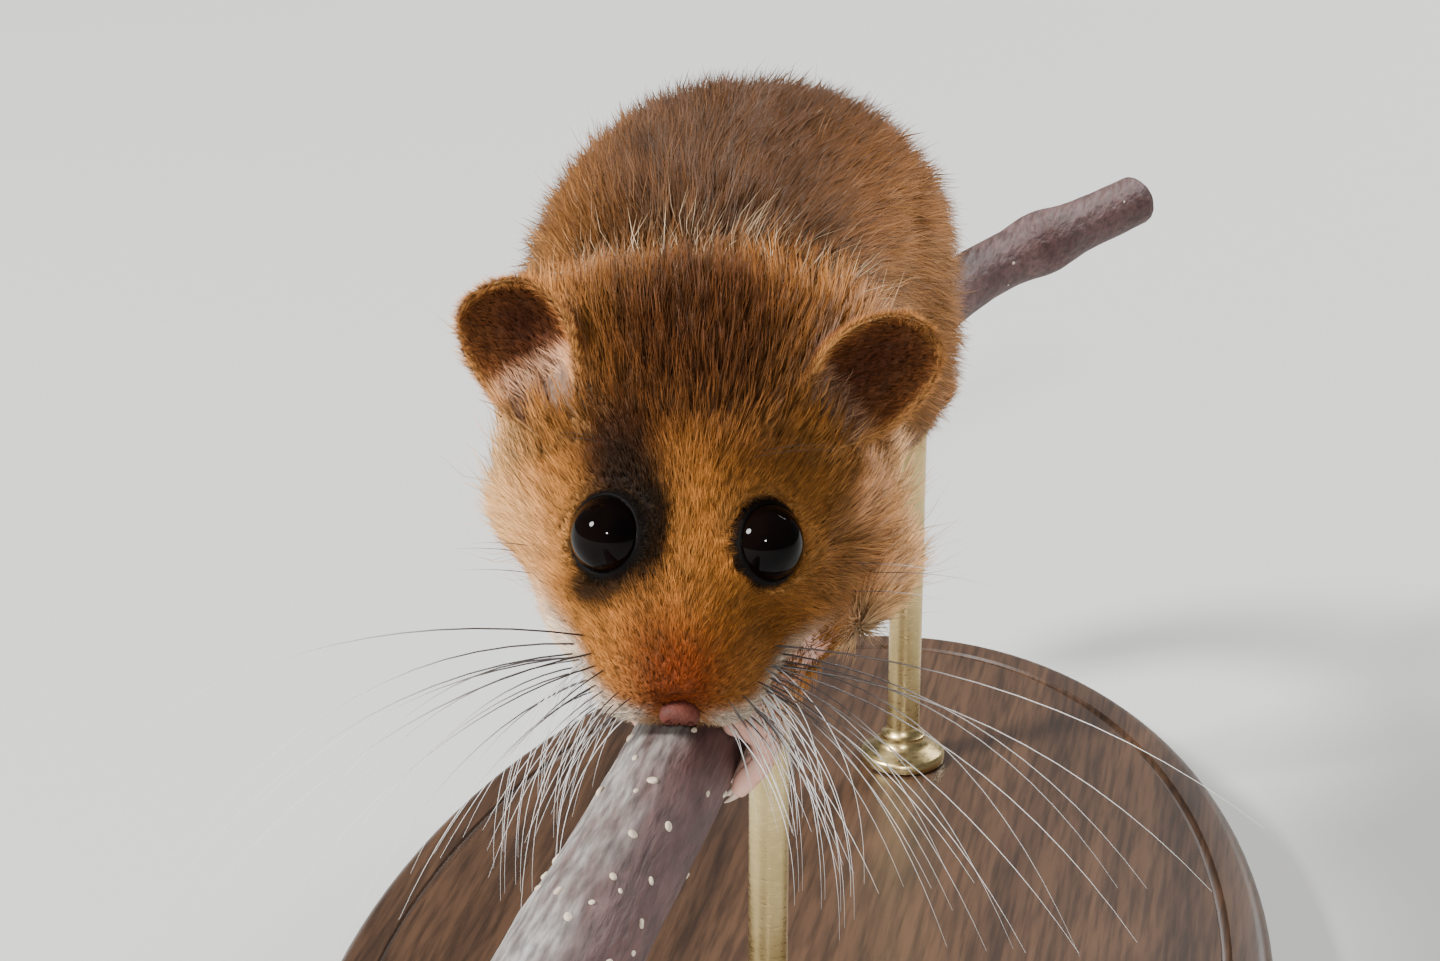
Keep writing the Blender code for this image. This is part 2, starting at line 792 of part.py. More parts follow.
def make_paw(name, perch):
    """A paw that grips the perch: a palm, its digits wrapped round, and a claw on each."""
    grip = GRIPS[name]
    side, y = grip["side"], NOSE_Y + grip["back"]
    _, perch_radius = perch_at(y)
    start, end = math.radians(grip["from"]), math.radians(grip["to"])
    pieces, knuckles = [], []
    middle = (grip["digits"] - 1) / 2
    for k in range(grip["digits"]):
        place = k - middle
        shorter = 1.0 - 0.07 * place**2
        rows = []
        for t in (0.0, 0.3, 0.6, 0.85, 1.0):
            angle = start + (end - start) * shorter * t
            thick = grip["radius"] * (1.0 - 0.22 * t + (0.12 if t == 0.85 else 0.0))
            hug = perch_radius + thick + 0.12 + 0.5 * math.sin(math.pi * min(t * 1.25, 1.0))
            along = y + place * (grip["root"] + (grip["tip"] - grip["root"]) * t) + grip["lean"] * t
            rows.append((*round_perch(along, angle, hug, side), thick))
        pieces.append(tube("digit", rows, 3, 10))
        knuckles.append(Vector(rows[0][:3]))
        last, before = Vector(rows[-1][:3]), Vector(rows[-2][:3])
        way = (last - before).normalized()
        claw_rows = [
            (*(last + way * (grip["radius"] * 0.3)), 0.34),
            (*(last + way * (grip["radius"] * 0.3 + grip["claw"] * 0.6)), 0.24),
            (*(last + way * (grip["radius"] * 0.3 + grip["claw"])), 0.13),
        ]
        pieces.append(tube("claw", claw_rows, 2, 8))
    across, back, above = grip["wrist"]
    wrist = Vector((across * side, NOSE_Y + back, PERCH_HEIGHT + above))
    root = sum(knuckles, Vector()) / len(knuckles)
    out = (root - perch_at(y)[0]).normalized()
    for k, knuckle in enumerate(knuckles):
        rows = [
            (*knuckle, grip["radius"] * 1.1),
            (*(knuckle.lerp(wrist, 0.5) + out * 0.15), grip["radius"] * 1.25),
            (*wrist, grip["palm"] * 0.8),
        ]
        pieces.append(tube("palm", rows, 3, 10))
    pieces.append(tube("wrist", [(*root.lerp(wrist, 0.55), grip["palm"]), (*wrist, grip["palm"] * 0.95)], 3, 12))
    paw = fused(name, pieces, PAW_VOXEL, 3)
    thinned(paw, TRIANGLES[name.split("_")[0]])
    return clear_of(paw, perch)


def forearm_rows(side):
    """The forearm's middle line and radius, from the elbow to the wrist, over the body's own lean."""
    rows = []
    for i, (x, back, up, radius) in enumerate(FORELEGS[side]):
        lean = body_lean(NOSE_Y + back) * (1 - i / 3)
        rows.append((x * side + lean, NOSE_Y + back, PERCH_HEIGHT + up, radius))
    return rows


FORELEGS = {
    LEFT: [(7.4, 24.0, 12.0, 3.8), (8.2, 20.5, 8.6, 3.2), (6.9, 14.0, 6.6, 2.2), (5.5, 10.2, 5.9, 1.6)],
    RIGHT: [(7.6, 27.0, 12.0, 3.8), (8.4, 25.0, 8.6, 3.2), (7.1, 20.4, 6.8, 2.2), (5.5, 17.2, 6.1, 1.6)],
}


def make_foreleg(name, side, hand, *neighbours):
    """The furred forearm, from the elbow under the chest, cut off flat where the hand begins."""
    rows = forearm_rows(side)
    end, before = Vector(rows[-1][:3]), Vector(rows[-2][:3])
    way = end - before
    trimmed(hand, end, -way)
    leg = trimmed(tube(name, rows, 4, 14), end, way)
    return thinned(clear_of(leg, *neighbours), TRIANGLES["foreleg"])


# The whole model


def part_flesh(flesh):
    """Parts the fused flesh into head, neck, torso and hind legs, with thin cuts."""
    axis = HEAD_PLACE.to_3x3() @ Y_AXIS
    nape = HEAD_PLACE @ Vector((0, 0.82 * HEAD_LENGTH, 0))
    withers = Vector((-2.2, NOSE_Y + 23.5, PERCH_HEIGHT + 18))
    chest = Vector((0, 0.93, 0.36))
    head, rest = halves(flesh, nape, axis, ("head", "rest"))
    neck, torso = halves(rest, withers, chest, ("neck", "torso"))
    legs = []
    for side, name in ((LEFT, "hindleg_left"), (RIGHT, "hindleg_right")):
        bound = [r + 1.3 for r in HAUNCH_RADII]
        place = beside(HAUNCH, side) + X_AXIS * (1.2 * side)
        inside = ellipsoid("inside", bound, place)
        leg = copy_of(torso, name)
        leg.name = name
        combine(leg, inside, "INTERSECT")
        legs.append(keep_largest(leg))
        outside = ellipsoid("outside", [r + GAP for r in bound], place)
        combine(torso, outside, "DIFFERENCE")
        remove(inside, outside)
        keep_largest(torso)
    return head, neck, torso, legs


def make_animal(perch):
    flesh = fused("flesh", head_masses() + torso_masses(), FLESH_VOXEL, 15)
    flesh = hollow_orbits(flesh)
    flesh = clear_of(flesh, perch, gap=GAP + 0.05)
    head, neck, torso, legs = part_flesh(flesh)
    for obj, kind in ((head, "head"), (neck, "neck"), (torso, "torso"), (legs[0], "hindleg"), (legs[1], "hindleg")):
        clean(thinned(obj, TRIANGLES[kind]))
    finish_head(head)
    nodes = [head, neck, torso, *legs, make_nose(head)]
    for side, name in ((LEFT, "left"), (RIGHT, "right")):
        nodes.append(make_eye("eye_" + name, side))
        nodes.append(make_ear("ear_" + name, side, head, neck))
        hand = make_paw("hand_" + name, perch)
        nodes.append(make_foreleg("foreleg_" + name, side, hand, torso, neck, head, perch))
        clear_of(head, hand)
        clear_of(neck, hand)
        foot = clear_of(make_paw("foot_" + name, perch), torso, *legs)
        nodes += [hand, foot]
    return nodes + make_tail(torso, perch)


def finish(nodes):
    """Gives each node its origin, its colour and its place under one empty, in metres."""
    kinds = {"eye": "eye", "nose": "skin", "hand": "skin", "foot": "skin", "perch": "bark"}
    kinds |= {"stand_base": "base", "stand_rod_front": "rod", "stand_rod_back": "rod"}
    root = bpy.data.objects.new("hazel_dormouse", None)
    bpy.context.scene.collection.objects.link(root)
    for node in nodes:
        kind = kinds.get(node.name, kinds.get(node.name.split("_")[0], "coat"))
        *rgb, rough, metal = COLOURS[kind]
        material = bpy.data.materials.get(kind) or bpy.data.materials.new(kind)
        material.use_nodes = True
        shader = material.node_tree.nodes["Principled BSDF"]
        shader.inputs["Base Color"].default_value = (*rgb, 1.0)
        shader.inputs["Roughness"].default_value = rough
        shader.inputs["Metallic"].default_value = metal
        node.data.materials.clear()
        node.data.materials.append(material)
        corners = [Vector(c) for c in node.bound_box]
        middle = sum(corners, Vector()) / 8
        node.data.transform(Matrix.Translation(-middle))
        node.data.transform(Matrix.Scale(MM, 4))
        node.location = middle * MM
        node.parent = root
        node.data.shade_smooth()
        node.data.set_sharp_from_angle(angle=math.radians(50))


def main():
    for obj in list(bpy.data.objects):
        bpy.data.objects.remove(obj)
    perch = make_perch()
    nodes = [perch, *make_stand(perch), *make_animal(perch)]
    finish(nodes)


main()
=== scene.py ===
import json
import math

import bmesh
import bpy
import numpy as np
from mathutils import Matrix, Vector, noise
from mathutils.bvhtree import BVHTree

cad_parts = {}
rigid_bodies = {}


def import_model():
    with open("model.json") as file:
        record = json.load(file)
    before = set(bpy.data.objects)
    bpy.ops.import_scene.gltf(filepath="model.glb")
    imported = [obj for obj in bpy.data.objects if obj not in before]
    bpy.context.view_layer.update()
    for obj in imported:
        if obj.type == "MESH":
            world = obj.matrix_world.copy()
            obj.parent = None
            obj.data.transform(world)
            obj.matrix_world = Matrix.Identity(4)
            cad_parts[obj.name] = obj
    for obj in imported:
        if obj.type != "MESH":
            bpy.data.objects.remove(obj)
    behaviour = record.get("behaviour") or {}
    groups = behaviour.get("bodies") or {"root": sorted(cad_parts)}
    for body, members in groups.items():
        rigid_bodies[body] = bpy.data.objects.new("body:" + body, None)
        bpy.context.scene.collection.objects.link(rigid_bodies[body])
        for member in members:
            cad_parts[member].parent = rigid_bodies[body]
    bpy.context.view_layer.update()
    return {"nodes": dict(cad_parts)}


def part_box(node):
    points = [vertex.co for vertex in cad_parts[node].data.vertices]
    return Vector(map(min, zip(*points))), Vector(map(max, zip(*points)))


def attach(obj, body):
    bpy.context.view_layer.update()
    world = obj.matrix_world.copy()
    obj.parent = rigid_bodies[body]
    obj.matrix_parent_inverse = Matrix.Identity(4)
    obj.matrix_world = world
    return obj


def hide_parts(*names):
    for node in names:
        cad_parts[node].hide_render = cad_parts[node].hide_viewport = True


# Without a seed, noise_vector gives other values in each run
noise.seed_set(1)
for spare in list(bpy.data.objects):
    bpy.data.objects.remove(spare)

# Every length is in millimetres until a piece is finished, which brings it to metres
mm = 0.001
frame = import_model()
print("frame loaded")

left, right = 1, -1
xAxis, yAxis, zAxis = Vector((1, 0, 0)), Vector((0, 1, 0)), Vector((0, 0, 1))

# The head's own frame: x to the animal's left, y back from the tip of the nose, z up
headPose = {"nose": (1.0, -45.0, 46.6), "pitch": 40.0, "yaw": 11.0, "roll": 5.5}
headPlace = (
    Matrix.Translation(headPose["nose"])
    @ Matrix.Rotation(math.radians(headPose["yaw"]), 4, "Z")
    @ Matrix.Rotation(math.radians(headPose["pitch"]), 4, "X")
    @ Matrix.Rotation(math.radians(headPose["roll"]), 4, "Y")
)
headTurn = headPlace.to_3x3()


def nodeMiddle(name):
    low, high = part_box(name)
    return (low + high) / 2 / mm


eyeSize = (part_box("eye_left")[1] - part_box("eye_left")[0]).x / 2 / mm
eyeMiddles = {left: nodeMiddle("eye_left"), right: nodeMiddle("eye_right")}
eyeFacings = {side: headTurn @ Vector((0.60 * side, -0.32, 0.73)).normalized() for side in (left, right)}


# Small tools for meshes

def newObject(name, mesh):
    obj = bpy.data.objects.new(name, mesh)
    bpy.context.scene.collection.objects.link(obj)
    return obj


def removeObjects(*objects):
    for obj in objects:
        mesh = obj.data
        bpy.data.objects.remove(obj)
        bpy.data.meshes.remove(mesh)


def meshFrom(name, points, faces):
    mesh = bpy.data.meshes.new(name)
    mesh.from_pydata([tuple(p) for p in points], [], faces)
    form = bmesh.new()
    form.from_mesh(mesh)
    bmesh.ops.recalc_face_normals(form, faces=form.faces)
    form.to_mesh(mesh)
    form.free()
    return newObject(name, mesh)


def applyModifiers(obj):
    graph = bpy.context.evaluated_depsgraph_get()
    made = bpy.data.meshes.new_from_object(obj.evaluated_get(graph))
    old = obj.data
    obj.modifiers.clear()
    obj.data = made
    bpy.data.meshes.remove(old)
    return obj


def joinedCopy(name, parts):
    form = bmesh.new()
    for part in parts:
        form.from_mesh(part.data)
    mesh = bpy.data.meshes.new(name)
    form.to_mesh(mesh)
    form.free()
    removeObjects(*parts)
    return newObject(name, mesh)


def fuse(obj, voxel, rounds):
    remesh = obj.modifiers.new("remesh", "REMESH")
    remesh.mode = "VOXEL"
    remesh.voxel_size = voxel
    smooth = obj.modifiers.new("smooth", "SMOOTH")
    smooth.factor = 0.5
    smooth.iterations = rounds
    return applyModifiers(obj)


# Drops every loose part of a mesh but the one with the most points.
def keepLargest(obj):
    form = bmesh.new()
    form.from_mesh(obj.data)
    unseen = set(form.verts)
    islands = []
    while unseen:
        island, edge = set(), [unseen.pop()]
        while edge:
            vert = edge.pop()
            island.add(vert)
            for link in vert.link_edges:
                other = link.other_vert(vert)
                if other in unseen:
                    unseen.remove(other)
                    edge.append(other)
        islands.append(island)
    islands.sort(key=len)
    print(f"{obj.name}: {len(islands)} parts")
    bmesh.ops.delete(form, geom=[v for island in islands[:-1] for v in island], context="VERTS")
    form.to_mesh(obj.data)
    form.free()
    return obj


def pointsOf(mesh):
    found = np.empty(len(mesh.vertices) * 3, np.float32)
    mesh.vertices.foreach_get("co", found)
    return found.reshape(-1, 3).astype(float)


def normalsOf(mesh):
    found = np.empty(len(mesh.vertices) * 3, np.float32)
    mesh.vertex_normals.foreach_get("vector", found)
    return found.reshape(-1, 3).astype(float)


def setPoints(mesh, points):
    mesh.vertices.foreach_set("co", points.astype(np.float32).ravel())
    mesh.update()


def setValues(mesh, name, values):
    kinds = {1: ("FLOAT", "value"), 3: ("FLOAT_VECTOR", "vector")}
    kind, field = kinds[1 if values.ndim == 1 else 3]
    layer = mesh.attributes.get(name) or mesh.attributes.new(name, kind, "POINT")
    layer.data.foreach_set(field, values.astype(np.float32).ravel())


def valuesOf(mesh, name):
    layer = mesh.attributes[name]
    field, width = ("vector", 3) if layer.data_type == "FLOAT_VECTOR" else ("value", 1)
    found = np.empty(len(layer.data) * width, np.float32)
    layer.data.foreach_get(field, found)
    return found.reshape(-1, 3) if width == 3 else found


# What a tuft takes from the point of skin that it grows on. Tufts of one colour are given none here.
def setCoat(mesh, colour, lie, normals, length, density):
    values = {
        "coatColour": colour, "lie": lie, "skinNormal": normals,
        "coatLength": length, "coatDensity": density,
    }
    for name, value in values.items():
        if value is not None:
            setValues(mesh, name, value)


# Values at the points, evened out along the mesh's edges.
def averaged(mesh, values, rounds):
    edges = np.empty(len(mesh.edges) * 2, np.int32)
    mesh.edges.foreach_get("vertices", edges)
    a, b = edges.reshape(-1, 2).T
    ends, others = np.concatenate([a, b]), np.concatenate([b, a])
    count = np.maximum(np.bincount(ends, minlength=len(values)), 1)
    columns = np.array(values, float).reshape(len(values), -1).T.copy()
    for _ in range(rounds):
        for k, column in enumerate(columns):
            total = np.bincount(ends, weights=column[others], minlength=len(values))
            columns[k] = 0.5 * column + 0.5 * total / count
    return columns.T.reshape(np.shape(values))


def ramp(x, start, end):
    t = np.clip((x - start) / (end - start), 0, 1)
    return t * t * (3 - 2 * t)


def unit(vectors):
    return vectors / np.maximum(np.linalg.norm(vectors, axis=1, keepdims=True), 1e-9)


# Directions laid flat on the surface that has these normals.
def alongSkin(ways, normals):
    return unit(ways - normals * np.sum(ways * normals, axis=1, keepdims=True))


def inHead(points):
    return (points - np.array(headPlace.translation)) @ np.array(headTurn)


# A smooth run through rows of numbers, with so many steps from each row to the next.
def throughRows(rows, steps):
    rows = np.array(rows, float)
    ends = np.vstack([2 * rows[0] - rows[1], rows, 2 * rows[-1] - rows[-2]])
    found = []
    for i in range(len(rows) - 1):
        a, b, c, d = ends[i:i + 4]
        for t in np.arange(steps) / steps:
            rise = 0.5 * t * (c - a) + t**2 * (a - 2.5 * b + 2 * c - 0.5 * d)
            found.append(b + rise + t**3 * (1.5 * b - 0.5 * a - 1.5 * c + 0.5 * d))
    return np.array([*found, rows[-1]])


def ringOf(centre, side, up, wide, tall, sides):
    angles = [2 * math.pi * k / sides for k in range(sides)]
    return [centre + side * (wide * math.cos(a)) + up * (tall * math.sin(a)) for a in angles]


# A skin through rings of equally many points. An open run gets a cap at each end.
def loft(name, rings, closed=False):
    sides = len(rings[0])
    points = [p for ring in rings for p in ring]
    faces = []
    for i in range(len(rings) - (0 if closed else 1)):
        for j in range(sides):
            k = (j + 1) % sides
            low, high = i * sides, (i + 1) % len(rings) * sides
            faces.append((low + j, low + k, high + k, high + j))
    if not closed:
        for first, way in ((0, -1), ((len(rings) - 1) * sides, 1)):
            ring = points[first:first + sides]
            points.append(sum(ring, Vector()) / sides)
            faces += [(first + j, first + (j + 1) % sides, len(points) - 1)[::way] for j in range(sides)]
    return meshFrom(name, points, faces)


# A round-ended tube along rows of x, y, z and radius.
def tube(name, rows, steps=3, sides=12):
    rows = throughRows(rows, steps)
    path = [Vector(r[:3]) for r in rows]
    rings = []
    for i, (point, row) in enumerate(zip(path, rows)):
        along = (path[min(i + 1, len(path) - 1)] - path[max(i - 1, 0)]).normalized()
        side = along.cross(zAxis if abs(along.z) < 0.95 else yAxis).normalized()
        up = side.cross(along)
        ring = ringOf(point, side, up, row[3], row[3], sides)
        if i in (0, len(path) - 1):
            out = along * (-1 if i == 0 else 1) * row[3]
            dome = [
                ringOf(point + out * o, side, up, row[3] * w, row[3] * w, sides)
                for o, w in ((0.4, 0.92), (0.75, 0.66), (0.95, 0.3))
            ]
            rings += dome[::-1] + [ring] if i == 0 else [ring] + dome
        else:
            rings.append(ring)
    return loft(name, rings)


def headEllipsoid(radii, centre, turn=0.0, segments=32):
    form = bmesh.new()
    bmesh.ops.create_uvsphere(form, u_segments=segments, v_segments=segments // 2, radius=1.0)
    mesh = bpy.data.meshes.new("part")
    form.to_mesh(mesh)
    form.free()
    place = headPlace @ Matrix.Translation(centre) @ Matrix.Rotation(turn, 4, "Z")
    mesh.transform(place @ Matrix.Diagonal((*radii, 1.0)))
    return newObject("part", mesh)


def cutAway(obj, cutter):
    boolean = obj.modifiers.new("cut", "BOOLEAN")
    boolean.operation = "DIFFERENCE"
    boolean.solver = "EXACT"
    boolean.object = cutter
    applyModifiers(obj)
    removeObjects(cutter)
    return obj


def finishPiece(obj, material, slotName, *replaced):
    obj.data.transform(Matrix.Scale(mm, 4))
    if material:
        obj.data.materials.clear()
        obj.data.materials.append(material)
    obj.data.shade_smooth()
    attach(obj, "root")
    if replaced:
        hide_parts(*replaced)
    return obj


# Materials

def newMaterial(name, look):
    material = bpy.data.materials.new(name)
    material.use_nodes = True
    shader = material.node_tree.nodes["Principled BSDF"]
    for socket, value in look.items():
        shader.inputs[socket].default_value = value
    return material, material.node_tree, shader


def feed(tree, socket, value):
    if isinstance(value, bpy.types.NodeSocket):
        tree.links.new(value, socket)
    else:
        socket.default_value = value


def addNode(tree, kind, inputs=None, **settings):
    node = tree.nodes.new(kind)
    for key, value in settings.items():
        setattr(node, key, value)
    for key, value in (inputs or {}).items():
        feed(tree, node.inputs[key], value)
    return node


def mathNode(tree, operation, *values):
    return addNode(tree, "ShaderNodeMath", dict(enumerate(values)), operation=operation).outputs[0]


def mixNode(tree, factor, a, b, blend="MIX"):
    inputs = {"Factor": factor, 6: a, 7: b}
    return addNode(tree, "ShaderNodeMix", inputs, data_type="RGBA", blend_type=blend).outputs[2]


def rampNode(tree, value, stops):
    node = addNode(tree, "ShaderNodeValToRGB", {"Fac": value})
    while len(node.color_ramp.elements) < len(stops):
        node.color_ramp.elements.new(0.5)
    for element, (place, colour) in zip(node.color_ramp.elements, stops):
        element.position = place
        element.color = (*colour, 1.0) if isinstance(colour, tuple) else (colour, colour, colour, 1.0)
    return node.outputs["Color"]


def attributeOf(tree, name, output="Fac"):
    return addNode(tree, "ShaderNodeAttribute", attribute_name=name).outputs[output]


# The place on the object, in metres.
def placeOn(tree):
    return addNode(tree, "ShaderNodeTexCoord").outputs["Object"]


def drawnOut(tree, where, scale):
    return addNode(tree, "ShaderNodeMapping", {"Vector": where, "Scale": scale}).outputs[0]


def noiseNode(tree, where, scale, detail):
    inputs = {"Vector": where, "Scale": scale, "Detail": detail}
    return addNode(tree, "ShaderNodeTexNoise", inputs).outputs["Fac"]


def addBump(tree, shader, height, strength, distance):
    bump = addNode(tree, "ShaderNodeBump", {"Height": height, "Strength": strength, "Distance": distance})
    tree.links.new(bump.outputs["Normal"], shader.inputs["Normal"])


coatLook = {"Roughness": 0.5, "Specular IOR Level": 0.18, "Specular Tint": (1.0, 0.76, 0.52, 1.0)}
# The tones of a hair from root to tip, and the least and the most that a whole tuft is toned by
hairShades = {
    "root": (0.20, 0.19, 0.18), "middle": (0.76, 0.72, 0.68), "tip": (1.55, 1.28, 1.02),
    "least": 0.42, "most": 1.55,
}


def coatMaterial():
    material, tree, shader = newMaterial("coat", coatLook)
    colour = attributeOf(tree, "coatColour", "Color")
    s = hairShades
    tones = [(0.0, s["root"]), (0.45, s["middle"]), (1.0, s["tip"])]
    toned = mixNode(tree, 1.0, colour, rampNode(tree, attributeOf(tree, "along"), tones), "MULTIPLY")
    shade = {"Value": attributeOf(tree, "shade"), "To Min": s["least"], "To Max": s["most"]}
    own = addNode(tree, "ShaderNodeMapRange", shade).outputs[0]
    scaled = addNode(tree, "ShaderNodeVectorMath", {0: toned, "Scale": own}, operation="SCALE").outputs[0]
    tree.links.new(scaled, shader.inputs["Base Color"])
    return material


def skinMaterial(name):
    material, tree, shader = newMaterial(name, {"Roughness": 0.8, "Specular IOR Level": 0.2})
    fine = noiseNode(tree, placeOn(tree), 2600.0, 3.0)
    tone = rampNode(tree, fine, [(0.3, 0.35), (0.7, 0.8)])
    full = mixNode(tree, 1.0, attributeOf(tree, "coatColour", "Color"), tone, "MULTIPLY")
    tree.links.new(full, shader.inputs["Base Color"])
    addBump(tree, shader, fine, 0.6, 0.0002)
    return material


# The skin: the solids of flesh as one body, moved in by the depth of the coat

fleshNodes = (
    "head", "neck", "torso", "hindleg_left", "hindleg_right", "foreleg_left", "foreleg_right",
    "tail_1", "tail_2", "tail_3",
)
skinSizes = {
    "voxel": 0.42, "closing": 0.36, "steps": 6, "depthShare": 0.37, "headShare": 0.18,
    "depthSquared": 0.034, "corrections": 3, "mostOfThickness": 0.22, "napeRounds": 160, "eyeRounds": 14,
    "underLids": 0.1,
}


def copiedNode(name, outwards=0.0):
    mesh = frame["nodes"][name].data.copy()
    mesh.transform(Matrix.Scale(1 / mm, 4))
    form = bmesh.new()
    form.from_mesh(mesh)
    bmesh.ops.remove_doubles(form, verts=form.verts, dist=0.003)
    form.normal_update()
    for vert in form.verts:
        vert.co += vert.normal * outwards
    form.to_mesh(mesh)
    form.free()
    mesh.materials.clear()
    return newObject("copy", mesh)


# The perch's middle line: x, y, z and radius
perchLine = throughRows([
    (-0.9, -69.0, 42.0, 3.22), (-0.1, -45.0, 42.0, 3.1), (0.0, -15.0, 42.2, 3.0), (0.2, 13.0, 42.0, 2.8),
    (1.6, 31.0, 42.5, 2.54), (5.6, 46.0, 43.5, 2.3), (16.5, 65.0, 45.0, 2.14),
], 12)
# The tail's middle line, from its root
tailLine = throughRows([
    (-1.2, 15.5, 53.4), (-0.2, 21.5, 51.4), (0.6, 27.5, 49.9), (-0.4, 34.5, 49.3), (-3.0, 41.5, 48.2),
    (-6.2, 47.5, 44.4), (-8.4, 51.6, 38.0), (-9.6, 53.4, 30.5), (-9.6, 52.6, 24.4),
], 6)
# How far the body's middle lies aside: y and x
bodyLean = (
    (-31, -0.4), (-24, -2.0), (-16, -3.6), (-7, -4.6), (2, -4.4), (10, -3.2), (16.5, -1.6), (21, -0.4),
)


# For each point the distance to a line of points, and the number of the nearest one.
def nearestOn(line, points):
    best = np.full(len(points), 1e9)
    index = np.zeros(len(points), int)
    for k, row in enumerate(line[:, :3]):
        far = np.linalg.norm(points - row, axis=1)
        closer = far < best
        best[closer] = far[closer]
        index[closer] = k
    return best, index


# What the coat's looks are worked out from, at each point of the skin.
def bodyFields(points, normals):
    head = inHead(points)
    onHead = ramp(head[:, 1], 27, 21) * ramp(head[:, 2], -12.5, -9.5)
    tailFar, tailIndex = nearestOn(tailLine, points)
    onTail = ramp(points[:, 1], 19, 24) * (tailFar < 8)
    eyeFar = np.min([np.linalg.norm(points - np.array(m), axis=1) for m in eyeMiddles.values()], axis=0)
    perchFar, perchIndex = nearestOn(perchLine, points)
    lean = np.interp(points[:, 1], *np.array(bodyLean).T)
    return {
        "head": head, "onHead": onHead, "onTail": onTail.astype(float), "tailIndex": tailIndex,
        "eyeFar": eyeFar, "perchGap": perchFar - perchLine[perchIndex, 3], "aside": points[:, 0] - lean,
        "up": normals[:, 2], "points": points, "normals": normals,
    }


# Lengths of the coat: the tail's by steps of its middle line, and the head's by the distance from the nose
coatLengths = {
    "body": 4.7,
    "tail": ((0, 3.6), (12, 4.8), (40, 5.2), (48, 5.6)),
    "head": ((0, 0.45), (2, 0.7), (5, 1.0), (9, 1.4), (13, 2.0), (18, 2.8), (24, 4.0)),
    "cheek": 1.5,
    "eye": 0.35,
    "paw": 1.3,
    "perch": 0.9,
}
wrists = [
    Vector(p) for p in ((5.4, -35.4, 47.6), (-5.4, -28.4, 47.8), (6.0, 10.0, 45.6), (-6.2, 12.0, 45.6))
]


def lengthOfCoat(f):
    onHead = np.interp(f["head"][:, 1], *np.array(coatLengths["head"]).T)
    side = np.abs(f["head"][:, 0])
    onHead = onHead + coatLengths["cheek"] * ramp(side, 4.5, 8.5) * ramp(f["head"][:, 1], 6, 11)
    length = coatLengths["body"] * (1 - f["onHead"]) + onHead * f["onHead"]
    tail = np.interp(f["tailIndex"], *np.array(coatLengths["tail"]).T)
    length = length * (1 - f["onTail"]) + tail * f["onTail"]
    length = np.minimum(length, coatLengths["eye"] + 0.5 * np.maximum(f["eyeFar"] - eyeSize, 0))
    for wrist in wrists:
        far = np.linalg.norm(f["points"] - np.array(wrist), axis=1)
        length = np.minimum(length, coatLengths["paw"] + 0.5 * np.maximum(far - 2.5, 0))
    return np.minimum(length, coatLengths["perch"] + 0.8 * np.maximum(f["perchGap"], 0))


def depthOfCoat(mesh):
    f = bodyFields(pointsOf(mesh), normalsOf(mesh))
    length = lengthOfCoat(f)
    onHead, onBody = skinSizes["headShare"], skinSizes["depthShare"]
    share = onBody + (onHead - onBody) * f["onHead"]
    return share * length + skinSizes["depthSquared"] * length**2


# How deep each point lies under a surface. It is below zero outside.
def depthsUnder(surface, points):
    found = []
    for point in points.tolist():
        place, normal, _, far = surface.find_nearest(point)
        found.append(far if (place - Vector(point)).dot(normal) > 0 else -far)
    return np.array(found)


def thicknesses(surface, points, normals):
    found = []
    for point, normal in zip(points.tolist(), normals.tolist()):
        inwards = -Vector(normal)
        far = surface.ray_cast(Vector(point) + inwards * 0.3, inwards)[3]
        found.append(far if far else 20.0)
    return np.array(found)


# Where the fur stands out beyond the solids, by so much to the right and left: whisker pads and cheeks
fullerParts = (
    {"out": (0.9, 0.8), "aside": (0.4, 2.6), "from": (-0.8, 1.2), "to": (9.0, 4.5), "under": (3.2, 0.4)},
    {"out": (0.4, 1.5), "aside": (3.5, 7.0), "from": (5.0, 9.0), "to": (18.0, 13.0), "under": (5.0, 0.5)},
)


def fuller(points):
    q = inHead(points)
    for part in fullerParts:
        share = ramp(np.abs(q[:, 0]), *part["aside"])
        share = share * ramp(q[:, 1], *part["from"]) * ramp(q[:, 1], *part["to"])
        share = share * ramp(q[:, 2], *part["under"]) * ramp(q[:, 2], -11, -8)
        q[:, 0] += np.where(q[:, 0] < 0, -part["out"][0], part["out"][1]) * share
    return q @ np.array(headTurn).T + np.array(headPlace.translation)


